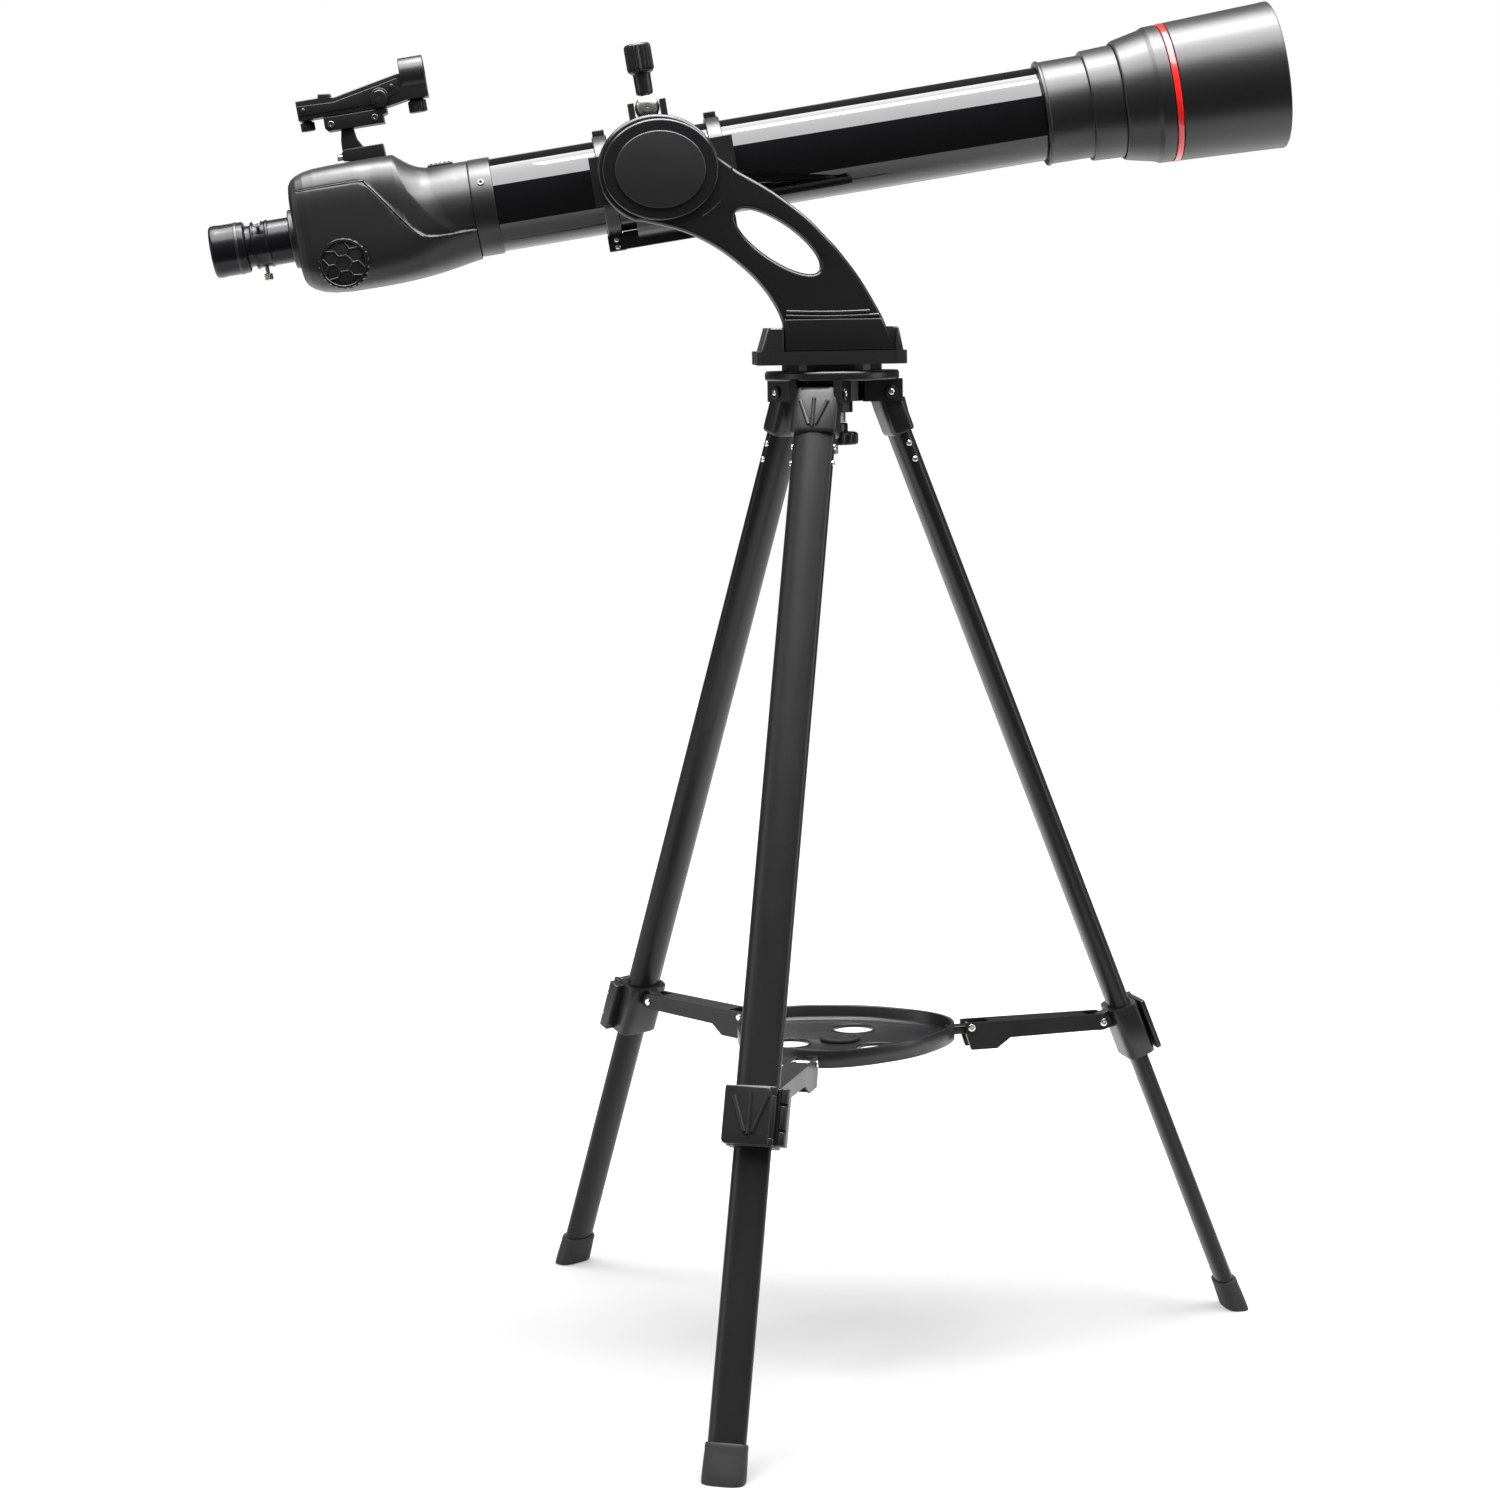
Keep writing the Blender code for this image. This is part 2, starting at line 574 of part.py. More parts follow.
def erecting_prism(axis):
    """A roof prism block with its corners cut at 45 degrees."""
    side = [(-345, -13), (-340, -18), (-312, -18), (-307, -13), (-307, 13), (-312, 18), (-340, 18), (-345, 13)]
    block = slab("erecting_prism", [side], -17, 17)
    place(turn(block, (math.pi / 2, 0, 0)), GLASS, axis)


def focuser(axis):
    """The drawtube with its rack, and the shaft, pinion and two knobs that drive it."""
    profile = [(17.2, -347), (17.2, -427), (18.7, -427.5), (18.7, -439), (16.1, -439), (16.1, -347)]
    tube = turn(turned("drawtube", profile, 36, True), (0, math.pi / 2, 0))
    rack = box("rack", (-382, -3, FOCUS_H + PINION_R + GAP), (-352, 3, -16.6))
    tube = join(tube, rack)
    holes = []
    for direction in CLAMP_SCREWS:
        hole = turn(rod("hole", 1.9, 10, 25, 12), (direction, 0, 0), (-433, 0, 0))
        holes.append(hole)
    place(cut(tube, *holes), PLASTIC, axis)

    near = [(0, 53.5), (14.5, 53.5), (16.4, 52.2), (19.3, 51), (19.3, 42), (17.5, 40.6), (2.4, 40.6)]
    pinion = [(2.4, 5), (PINION_R, 5), (PINION_R, -5), (2.4, -5)]
    far = [(r, -h) for r, h in reversed(near)]
    shaft = turned("focus_knob", near + pinion + far, 36)
    place(turn(shaft, (math.pi / 2, 0, 0), (FOCUS_S, 0, FOCUS_H)), RUBBER, axis)


CLAMP_SCREWS = (math.radians(50), math.radians(180))   # turned about the tube, from straight up


def eyepiece(axis):
    body = [(15.85, -408), (15.85, -441), (17.6, -441.5), (17.6, -444.5), (19.3, -445), (19.3, -470),
            (18.3, -471.4), (14, -471.4), (13.5, -468), (13.5, -441), (13.8, -408)]
    along_tube(turned("eyepiece_body", body, 40, True), PLASTIC, axis)
    along_tube(lens("eyepiece_lens", 13.2, -463, -457, 2.5), GLASS, axis)
    for name, direction in zip(("near", "low"), CLAMP_SCREWS):
        screw = turned(f"eyepiece_lock_screw_{name}", [(0, 27.5), (3.2, 27.5), (3.2, 22), (1.5, 22), (1.5, 16.2),
                                                 (0, 16.2)], 14)
        place(turn(screw, (direction, 0, 0), (-433, 0, 0)), CHROME, axis)


def finder(axis):
    """The red-dot sight: a bracket on the housing and a sighting body with a window hoop."""
    shoe = box("finder_bracket", (-360, -9, 49.8), (-330, 9, 58.8), 0.0)
    stalk_side = [(-361, 58.3), (-345, 58.3), (-349, 74.5), (-359, 74.5)]
    stalk = turn(slab("stalk", [stalk_side], -6, 6), (math.pi / 2, 0, 0))
    rail = box("rail", (-370.5, -10, 74), (-326, 10, 84.5))
    place(join(as_mesh(shoe), stalk, rail), PLASTIC, axis)

    side = [(-389, 84.8), (-322, 84.8), (-306.5, 87.5), (-290, 87.5), (-290, 106), (-308.5, 107.5), (-360, 98),
            (-362.5, 101.5), (-371.5, 101.5), (-372.5, 99.4), (-389, 99.4)]
    body = turn(slab("finder_body", [side], -10, 10), (math.pi / 2, 0, 0))
    hoop_h = 106.0
    hoop = turn(rod("hoop", 13.2, -308.5, -290, 32), (0, math.pi / 2, 0), (0, 0, hoop_h))
    bore = turn(rod("bore", 11.2, -320, -280, 32), (0, math.pi / 2, 0), (0, 0, hoop_h))
    body = cut(join(body, hoop), bore)
    place(body, PLASTIC, axis)
    window = turn(rod("finder_window", 10.9, -294.5, -293, 32), (0, math.pi / 2, 0), (0, 0, hoop_h))
    place(window, GLASS, axis)
    wheel = turn(rod("finder_power_knob", 7, 10.3, 14.5, 24), (math.pi / 2, 0, 0), (-326, 0, 92.5))
    place(wheel, PLASTIC, axis)
    for name, s, radius, low in (("rear", -383.5, 5.5, 77), ("front", -299.5, 6.2, 77.5)):
        top = 84.7 if name == "rear" else 87.2
        knob = turned(f"finder_adjust_knob_{name}", [(0, top), (radius - 1, top), (radius, top - 1), (radius, low + 1),
                                                  (radius - 1, low), (0, low)], 20)
        place(turn(knob, (0, 0, 0), (s, 0, 0)), PLASTIC, axis)


def main():
    frame = hub_frame()
    tripod_hub(frame)
    for name, azimuth in zip(LEG_NAMES, leg_directions()):
        leg(frame, name, azimuth)
    accessory_tray(frame)
    mount_base(frame)
    azimuth_bolt(frame)
    mount_arm(frame)
    axis = empty("optical_axis", (0, TUBE_Y, TUBE_Z), (0, -ALTITUDE, 0), frame)
    cradle(axis)
    slow_motion(axis)
    optical_tube(axis)
    rear_housing(axis)
    erecting_prism(axis)
    focuser(axis)
    eyepiece(axis)
    finder(axis)


clear_scene()
PARTS = collection("refractor_telescope")
CUTTERS = collection("cutters")
PLASTIC = material("black_plastic", (0.022, 0.022, 0.024), 0.5)
GLOSS = material("gloss_black_tube", (0.006, 0.006, 0.008), 0.08)
ANODISED = material("anodised_aluminium", (0.03, 0.031, 0.034), 0.38, 0.8)
RUBBER = material("black_rubber", (0.014, 0.014, 0.015), 0.75)
CHROME = material("chrome_steel", (0.78, 0.77, 0.75), 0.18, 1.0)
RED = material("red_trim", (0.72, 0.02, 0.02), 0.3)
GLASS = material("coated_glass", (0.35, 0.42, 0.55), 0.03)
main()
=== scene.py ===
"""Visual model of a small refractor telescope on a single-arm mount and a folding tripod.

Lengths in the builders are millimetres in a piece's own frame. A frame is a matrix that carries
them into the row frame in metres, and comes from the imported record's joints.
"""
import json
import math

import bmesh
import bpy
from mathutils import Matrix, Vector

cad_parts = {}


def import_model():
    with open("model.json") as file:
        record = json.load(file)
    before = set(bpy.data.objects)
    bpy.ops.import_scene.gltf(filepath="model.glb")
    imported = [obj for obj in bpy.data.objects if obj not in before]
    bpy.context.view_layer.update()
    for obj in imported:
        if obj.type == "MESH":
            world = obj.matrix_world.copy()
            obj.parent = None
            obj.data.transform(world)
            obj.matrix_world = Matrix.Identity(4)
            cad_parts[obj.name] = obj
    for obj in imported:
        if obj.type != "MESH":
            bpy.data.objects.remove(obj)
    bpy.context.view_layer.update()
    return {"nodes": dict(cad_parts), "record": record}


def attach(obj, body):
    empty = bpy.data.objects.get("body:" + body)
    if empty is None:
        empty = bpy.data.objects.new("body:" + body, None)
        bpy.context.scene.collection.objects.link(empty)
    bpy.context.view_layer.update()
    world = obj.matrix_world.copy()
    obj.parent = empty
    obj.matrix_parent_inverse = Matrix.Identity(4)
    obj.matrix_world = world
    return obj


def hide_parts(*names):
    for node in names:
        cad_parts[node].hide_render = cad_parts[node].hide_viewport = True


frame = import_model()
JOINTS = {j["name"]: j for j in frame["record"]["behaviour"]["joints"]}
LEGS = ("front", "left", "right")
TAU = math.tau
LEG_AZIMUTH = -19.12             # degrees from -Y to the front leg
HINGE_DEPTH, HINGE_Y = 528.5, -19.0     # brace hinge, down the leg and inwards
LEVER_X, LEVER_Y = -16.2, 13.9   # pin of the lock lever
FRAME_PIXELS = 1500


def axes(x, y, z, origin):
    """A frame from three directions and an origin in metres, taking millimetres."""
    made = Matrix((x, y, z)).transposed().to_4x4()
    made.translation = origin
    return made @ Matrix.Scale(0.001, 4)


def joint_vector(name, key):
    return Vector(JOINTS[name][key])


UP = Vector((0, 0, 1))
HUB_POINT = joint_vector("azimuth", "pos_m")
MOUNT = axes(Vector((1, 0, 0)), Vector((0, 1, 0)), UP, Vector((HUB_POINT.x, HUB_POINT.y, 0)))
FORWARD = -joint_vector("drawtube_slide", "axis")
TUBE_UP = joint_vector("fine_altitude_turn", "axis")
PIVOT_S, PIVOT_H = -129.0, 2.3
TUBE_ORIGIN = joint_vector("altitude", "pos_m") - FORWARD * PIVOT_S / 1000 - TUBE_UP * PIVOT_H / 1000
TUBE = axes(FORWARD, Vector((0, 1, 0)), TUBE_UP, TUBE_ORIGIN)      # X forward, Y away, Z up
# Z forward, for turned pieces
ALONG = TUBE @ Matrix(((0, 0, 1, 0), (0, 1, 0, 0), (-1, 0, 0, 0), (0, 0, 0, 1)))
FACING = Matrix(((1, 0, 0, 0), (0, 0, -1, 0), (0, 1, 0, 0), (0, 0, 0, 1)))  # XY drawn upright, Z towards -Y
SIDEWAYS = TUBE @ FACING        # X forward, Y up from the optical axis, Z towards the near side


def leg_frame(name):
    """Z up the leg, Y outward and X across it, from the hip bolt."""
    z = -joint_vector(f"leg_{name}_extend", "axis")
    x = -joint_vector(f"leg_{name}_fold", "axis")
    return axes(x, z.cross(x), z, joint_vector(f"leg_{name}_fold", "pos_m"))


# ------------------------------------------------------------------ materials

def finish(name, colour, roughness, metallic=0.0, coat=0.0, coat_roughness=0.08, grain=900.0, depth=0.02,
           vary=0.12, stretch=(1, 1, 1), painted_edge_highlight=0.0, specular=0.5, patches=35.0):
    """A surface with slow patches of tone, a fine moulded or brushed grain and a painted highlight on its
    edges.
    """
    made = bpy.data.materials.new(name)
    made.use_nodes = True
    nodes, links = made.node_tree.nodes, made.node_tree.links
    shader = nodes["Principled BSDF"]
    shader.inputs["Metallic"].default_value = metallic
    shader.inputs["Coat Weight"].default_value = coat
    shader.inputs["Coat Roughness"].default_value = coat_roughness
    shader.inputs["Specular IOR Level"].default_value = specular
    where = nodes.new("ShaderNodeTexCoord")
    mapping = nodes.new("ShaderNodeMapping")
    mapping.inputs["Scale"].default_value = stretch
    links.new(where.outputs["Object"], mapping.inputs["Vector"])
    slow = nodes.new("ShaderNodeTexNoise")
    slow.inputs["Scale"].default_value = patches
    slow.inputs["Detail"].default_value = 5
    fine = nodes.new("ShaderNodeTexNoise")
    fine.inputs["Scale"].default_value = grain
    fine.inputs["Detail"].default_value = 3
    for noise in (slow, fine):
        links.new(mapping.outputs["Vector"], noise.inputs["Vector"])
    tone = nodes.new("ShaderNodeValToRGB")
    tone.color_ramp.elements[0].position = 0.3
    tone.color_ramp.elements[1].position = 0.7
    tone.color_ramp.elements[0].color = (*[c * (1 - vary) for c in colour], 1)
    tone.color_ramp.elements[1].color = (*[min(1.0, c * (1 + vary)) for c in colour], 1)
    links.new(slow.outputs["Fac"], tone.inputs["Fac"])
    base = tone.outputs["Color"]
    # painted highlight: sharp edges found by pointiness get a lighter colour, standing in for the light
    # their bevels catch
    if painted_edge_highlight:
        geometry = nodes.new("ShaderNodeNewGeometry")
        edge = nodes.new("ShaderNodeMapRange")
        edge.inputs["From Min"].default_value = 0.52
        edge.inputs["From Max"].default_value = 0.66
        edge.inputs["To Max"].default_value = painted_edge_highlight
        links.new(geometry.outputs["Pointiness"], edge.inputs["Value"])
        mix = nodes.new("ShaderNodeMix")
        mix.data_type = "RGBA"
        mix.inputs["B"].default_value = (*[min(1.0, c * 3 + 0.03) for c in colour], 1)
        links.new(edge.outputs["Result"], mix.inputs["Factor"])
        links.new(base, mix.inputs["A"])
        base = mix.outputs["Result"]
    links.new(base, shader.inputs["Base Color"])
    rough = nodes.new("ShaderNodeMapRange")
    rough.inputs["From Min"].default_value = 0.25
    rough.inputs["From Max"].default_value = 0.75
    rough.inputs["To Min"].default_value = roughness * (1 - vary)
    rough.inputs["To Max"].default_value = min(1.0, roughness * (1 + vary))
    links.new(slow.outputs["Fac"], rough.inputs["Value"])
    links.new(rough.outputs["Result"], shader.inputs["Roughness"])
    if depth:
        bump = nodes.new("ShaderNodeBump")
        bump.inputs["Strength"].default_value = 0.6
        bump.inputs["Distance"].default_value = depth / 1000
        links.new(fine.outputs["Fac"], bump.inputs["Height"])
        links.new(bump.outputs["Normal"], shader.inputs["Normal"])
    return made


def coated_glass(name, colour, roughness=0.02):
    """Clear glass with a faint coating."""
    made = finish(name, colour, roughness, coat=1.0, coat_roughness=0.01, depth=0.0, vary=0.2, patches=12)
    made.node_tree.nodes["Principled BSDF"].inputs["Transmission Weight"].default_value = 0.75
    made.node_tree.nodes["Principled BSDF"].inputs["IOR"].default_value = 1.52
    return made


PAINT = finish("gloss_paint", (0.0025, 0.0024, 0.0028), 0.3, coat=1.0, coat_roughness=0.03, grain=160,
               depth=0.002, specular=0.0)
SATIN = finish("satin_housing", (0.0095, 0.0094, 0.0097), 0.38, grain=2600, depth=0.008, vary=0.05,
               painted_edge_highlight=0.1)
SHIELD = finish("satin_shield", (0.007, 0.007, 0.0075), 0.36, grain=2400, depth=0.004, vary=0.04, painted_edge_highlight=0.05)
GRIP = finish("moulded_grip", (0.005, 0.005, 0.0058), 0.17, grain=1600, depth=0.004, vary=0.06)
OCULAR = finish("eyepiece_black", (0.004, 0.004, 0.0052), 0.27, grain=1600, depth=0.003, vary=0.05,
                specular=0.28)
STEEL = finish("dark_steel", (0.20, 0.20, 0.20), 0.32, metallic=1.0, grain=900, depth=0.004, vary=0.08)
TRAY_SKIN = finish("tray_skin", (0.011, 0.011, 0.0115), 0.26, grain=1600, depth=0.004, vary=0.05)
CAST = finish("cast_arm", (0.0065, 0.0065, 0.007), 0.24, grain=1800, depth=0.004, vary=0.04, painted_edge_highlight=0.1)
MOULDED = finish("moulded_black", (0.006, 0.006, 0.0065), 0.34, grain=2000, depth=0.008, vary=0.06,
                 painted_edge_highlight=0.1)
LEG = finish("anodised_leg", (0.0065, 0.0065, 0.007), 0.32, metallic=0.1, grain=1500, depth=0.006,
             vary=0.14, stretch=(1, 1, 0.03), painted_edge_highlight=0.2, specular=0.32)
BOOT = finish("boot_rubber", (0.008, 0.008, 0.008), 0.62, grain=1200, depth=0.05, painted_edge_highlight=0.2)
CHROME = finish("chrome", (0.86, 0.84, 0.80), 0.24, metallic=1.0, grain=700, depth=0.004, vary=0.08)
RED = finish("red_band", (0.78, 0.012, 0.010), 0.25, coat=0.6, grain=900, depth=0.004, vary=0.06)
BAFFLE = finish("baffle_black", (0.004, 0.004, 0.004), 0.8, grain=2500, depth=0.05)
GLASS = coated_glass("coated_glass", (0.16, 0.22, 0.34))
PRISM = coated_glass("prism_glass", (0.7, 0.75, 0.8))


# ------------------------------------------------------------------ shapes

def keep(name, bm, place, surface, body, replaces=(), smooth=38):
    """Ends a piece: into the row frame, shaded, finished, and riding on its body."""
    bmesh.ops.remove_doubles(bm, verts=bm.verts, dist=1e-4)
    bmesh.ops.recalc_face_normals(bm, faces=bm.faces)
    mesh = bpy.data.meshes.new(name)
    bm.to_mesh(mesh)
    bm.free()
    mesh.transform(place)
    mesh.shade_smooth()
    mesh.set_sharp_from_angle(angle=math.radians(smooth))
    obj = bpy.data.objects.new(name, mesh)
    bpy.context.scene.collection.objects.link(obj)
    mesh.materials.append(surface)
    if body:
        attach(obj, body)
    if replaces:
        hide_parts(*replaces)
    return obj


def eased(points, radius, steps=3):
    """A closed outline with its corners rounded, up to 0.45 of the shorter side."""
    points = [Vector(p[:2]) for p in points]
    made = []
    for i, here in enumerate(points):
        before, after = points[i - 1] - here, points[(i + 1) % len(points)] - here
        reach = min(radius, 0.45 * before.length, 0.45 * after.length)
        if reach < 0.02 or before.angle(after) > math.radians(172):
            made.append(tuple(here))
            continue
        a, b = here + before.normalized() * reach, here + after.normalized() * reach
        for k in range(steps + 1):
            t = k / steps
            made.append(tuple(a * (1 - t) ** 2 + here * 2 * t * (1 - t) + b * t ** 2))
    return made


def lathe(name, profile, place, surface, body, replaces=(), steps=128, ease=0.5, ribs=None):
    """A closed profile of (radius, height) turned about Z.

    ribs = (count, depth, low, high, least radius) flutes the part between two heights.
    """
    profile = [(max(r, 0.0), z) for r, z in (eased(profile, ease) if ease else profile)]
    bm = bmesh.new()
    rings = []
    for r, z in profile:
        ring = []
        for i in range(steps):
            a = TAU * i / steps
            radius = r
            if ribs and ribs[2] <= z <= ribs[3] and r > ribs[4]:
                radius = r - ribs[1] * (0.5 - 0.5 * math.cos(a * ribs[0])) ** 0.6
            ring.append(bm.verts.new((radius * math.cos(a), radius * math.sin(a), z)))
        rings.append(ring)
    radii = [r for r, z in profile]
    for near, far, r0, r1 in zip(rings, rings[1:] + rings[:1], radii, radii[1:] + radii[:1]):
        if r0 < 1e-6 and r1 < 1e-6:
            continue
        for i in range(steps):
            j = (i + 1) % steps
            bm.faces.new((near[i], near[j], far[j], far[i]))
    return keep(name, bm, place, surface, body, replaces)


def plate(name, outlines, low, high, place, surface, body, replaces=(), bevel=0.8, rounds=3):
    """A flat outline with holes, with rounded edges, between two heights."""
    curve = bpy.data.curves.new(name, "CURVE")
    curve.dimensions, curve.fill_mode = "2D", "BOTH"
    curve.extrude = (high - low) / 2 - bevel
    curve.bevel_depth, curve.offset, curve.bevel_resolution = bevel, -bevel, rounds
    for outline in outlines:
        spline = curve.splines.new("POLY")
        spline.points.add(len(outline) - 1)
        for point, xy in zip(spline.points, outline):
            point.co = (xy[0], xy[1], 0.0, 1.0)
        spline.use_cyclic_u = True
    source = bpy.data.objects.new(name, curve)
    mesh = bpy.data.meshes.new_from_object(source)
    bpy.data.objects.remove(source)
    bm = bmesh.new()
    bm.from_mesh(mesh)
    bmesh.ops.translate(bm, verts=bm.verts, vec=(0, 0, (low + high) / 2))
    return keep(name, bm, place, surface, body, replaces)


def loft(name, sections, place, surface, body, replaces=(), caps=True, smooth=38):
    """A skin through rings of the same number of points, capped at both ends."""
    bm = bmesh.new()
    rings = [[bm.verts.new(p) for p in section] for section in sections]
    count = len(rings[0])
    for near, far in zip(rings, rings[1:]):
        for i in range(count):
            j = (i + 1) % count
            bm.faces.new((near[i], near[j], far[j], far[i]))
    if caps:
        bm.faces.new(list(reversed(rings[0])))
        bm.faces.new(rings[-1])
    return keep(name, bm, place, surface, body, replaces, smooth)


def block(name, low, high, place, surface, body, replaces=(), bevel=0.8):
    """A box with rounded edges."""
    low, high = Vector(low), Vector(high)
    bm = bmesh.new()
    grow = Matrix.Translation((low + high) / 2) @ Matrix.Diagonal((*(high - low), 1))
    bmesh.ops.create_cube(bm, size=1.0, matrix=grow)
    bmesh.ops.bevel(bm, geom=bm.edges[:], offset=bevel, segments=3, affect="EDGES", profile=0.6)
    return keep(name, bm, place, surface, body, replaces)


def bead(name, points, radius, place, surface, body, cyclic=False, sides=10):
    """A raised line or wire through points, with round ends."""
    bm = bmesh.new()
    points = [Vector(p) for p in points]
    rings = []
    for i, here in enumerate(points):
        before = points[i - 1] if i or cyclic else here
        after = points[(i + 1) % len(points)] if i + 1 < len(points) or cyclic else here
        run = (after - before).normalized()
        side = run.orthogonal().normalized() if not rings else (last - run * last.dot(run)).normalized()
        last = side
        other = run.cross(side)
        turns = [TAU * k / sides for k in range(sides)]
        rings.append([bm.verts.new(here + (side * math.cos(a) + other * math.sin(a)) * radius)
                      for a in turns])
    for near, far in zip(rings, rings[1:] + (rings[:1] if cyclic else [])):
        for k in range(sides):
            bm.faces.new((near[k], near[(k + 1) % sides], far[(k + 1) % sides], far[k]))
    if not cyclic:
        bm.faces.new(list(reversed(rings[0])))
        bm.faces.new(rings[-1])
    return keep(name, bm, place, surface, body)


def oval(width, height, count=64, centre=(0.0, 0.0), tilt=0.0, power=2.0):
    """An ellipse, or a squarer oval with a power above 2."""
    made = []
    for i in range(count):
        c, s = math.cos(TAU * i / count), math.sin(TAU * i / count)
        x = width / 2 * math.copysign(abs(c) ** (2 / power), c)
        y = height / 2 * math.copysign(abs(s) ** (2 / power), s)
        made.append((centre[0] + x * math.cos(tilt) - y * math.sin(tilt),
                     centre[1] + x * math.sin(tilt) + y * math.cos(tilt)))
    return made


def smooth_curve(points, steps=8):
    """Catmull-Rom points through an open run of 2-D points."""
    made = []
    padded = [points[0]] + list(points) + [points[-1]]
    for a, b, c, d in zip(padded, padded[1:], padded[2:], padded[3:]):
        a, b, c, d = Vector(a), Vector(b), Vector(c), Vector(d)
        for k in range(steps):
            t = k / steps
            made.append(tuple(0.5 * (2 * b + (c - a) * t + (2 * a - 5 * b + 4 * c - d) * t * t
                                     + (3 * b - a - 3 * c + d) * t ** 3)))
    made.append(tuple(points[-1]))
    return made


def reface(nodes, surface, bevel=0.5):
    """Carried-over CAD nodes: their own shape, softened edges and a finish."""
    for name in nodes:
        obj = frame["nodes"][name]
        for slot in obj.material_slots:
            slot.material = surface
        if bevel:
            made = obj.modifiers.new("edges", "BEVEL")
            made.width, made.segments = bevel / 1000, 2
            made.limit_method, made.angle_limit = "ANGLE", math.radians(40)


# ------------------------------------------------------------------ optical tube

T = "telescope"
lathe("tube_barrel", [(35, 172), (35, -268), (33.6, -268), (33.6, 172)], ALONG, PAINT, T, ("main_tube",),
      ease=0.2)
lathe("tube_clamp_ring", [(36.3, -253.6), (36.5, -255), (36.5, -269.6), (36.1, -270.6), (35.3, -270.6),
                          (35.3, -253.6)], ALONG, SHIELD, T, ("tube_collar",), ease=0.4)
RING_SCREW = TUBE @ Matrix.Translation((-262, 0, 0)) @ Matrix.Rotation(math.radians(62), 4, "X")
lathe("clamp_ring_screw", [(1.3, 37.5), (2.2, 37.5), (2.6, 37.1), (2.6, 35.9), (0, 35.9), (0, 36.2),
                           (1.3, 36.2)], RING_SCREW, STEEL, T, steps=32)
# painted shade: a black matte disc at the floor of the screw's socket stands in for the shade inside the
# hole
lathe("clamp_ring_socket_painted_shade", [(0, 36.9), (1.6, 36.9), (1.6, 36.0), (0, 36.0)],
      RING_SCREW, BAFFLE, T, steps=32, ease=0)
lathe("front_cell", [(41.6, 234), (41.6, 224.6), (42.4, 224), (41.4, 201.2), (41.0, 200.2), (38.6, 199.8),
                     (38.4, 168.2), (39.4, 167.6), (39.6, 166.4), (39.0, 165.3), (35.3, 165), (35.3, 176),
                     (33.2, 176), (33.2, 206.6), (36.2, 207), (36.2, 234)], ALONG, SHIELD, T,
      ("objective_cell",), ease=0.5)
lathe("lens_retainer", [(36.0, 229), (36.0, 223.6), (32.6, 223.6), (31.6, 229)], ALONG, BAFFLE, T)
lathe("light_hood", [(55.4, 346.6), (55.0, 340), (52.0, 266.4), (51.2, 265.7), (50.5, 265.6), (50.5, 260.4),
                     (51.2, 260.3), (51.6, 259.6), (51.3, 250.6), (49.6, 247.2), (45.6, 228.6),
                     (44.8, 225.6), (43.9, 224.4), (42.8, 224.3), (42.8, 236), (48.4, 252), (53.2, 345),
                     (54.2, 347.4)], ALONG, SHIELD, T, ("dew_shield",), steps=160, ease=0.6)
lathe("hood_lining", [(53.0, 344), (48.2, 253), (43.4, 238), (43.0, 238), (47.8, 253), (52.6, 344)], ALONG,
      BAFFLE, T, steps=128, ease=0)
lathe("red_hood_ring", [(52.1, 265.2), (51.9, 260.8), (50.8, 260.8), (50.8, 265.2)], ALONG, RED, T,
      ("red_ring",), steps=160, ease=0.4)


def dome(radius, low, edge_low, edge_high, high, count=14):
    """The profile of a lens with two curved faces."""
    front = [(radius * i / count, high - (high - edge_high) * (i / count) ** 2) for i in range(count + 1)]
    back = [(radius * i / count, low + (edge_low - low) * (i / count) ** 2) for i in range(count, -1, -1)]
    return front + back


lathe("objective_front_glass", dome(35.8, 213.6, 216, 220, 222.5), ALONG, GLASS, T,
      ("objective_lens_front",), ease=0)
lathe("objective_rear_glass", dome(35.8, 207.4, 208, 211, 212.6), ALONG, GLASS, T, ("objective_lens_rear",),
      ease=0)
lathe("tube_baffle", [(33.4, 60), (24, 60), (24, 61), (33.4, 61)], ALONG, BAFFLE, T, ease=0)


# ------------------------------------------------------------------ prism housing

SHAPE = [(-271.0, 36.4, 36.4, -38.0, 2.0), (-280.0, 36.6, 36.3, -39.4, 2.0),
         (-290, 36.9, 36.5, -41.2, 2.05), (-300, 37.2, 37.9, -42.8, 2.2), (-306, 37.8, 40.4, -43.6, 2.4),
         (-312, 38.4, 43.4, -44.2, 2.7), (-320, 38.9, 47.6, -44.9, 3.0), (-325, 39.3, 49.5, -45.2, 3.2),
         (-335, 39.8, 49.6, -45.7, 3.4), (-350, 40.0, 49.5, -46.0, 3.6), (-372, 39.8, 49.3, -45.8, 3.7),
         (-385, 39.3, 48.8, -44.6, 3.7), (-393, 38.6, 47.6, -42.8, 3.6), (-399, 37.4, 45.6, -40.0, 3.5),
         (-403, 35.6, 43.0, -37.0, 3.4), (-405.2, 32.8, 39.8, -33.2, 3.2), (-406.0, 28.5, 35.0, -28.0, 3.0)]


def along_shape(s):
    """The housing's half width, top, bottom and squareness at a station, eased between the rows."""
    for (s0, *row0), (s1, *row1) in zip(SHAPE, SHAPE[1:]):
        if s1 <= s <= s0:
            t = (s - s0) / (s1 - s0)
            return [a + (b - a) * t for a, b in zip(row0, row1)]
    return SHAPE[-1][1:]


SEAM = [(-420, 33.0), (-352, 32.6), (-345, 28.0), (-318, -8.8), (-309, -15.6), (-298, -17.0), (-250, -17.0)]


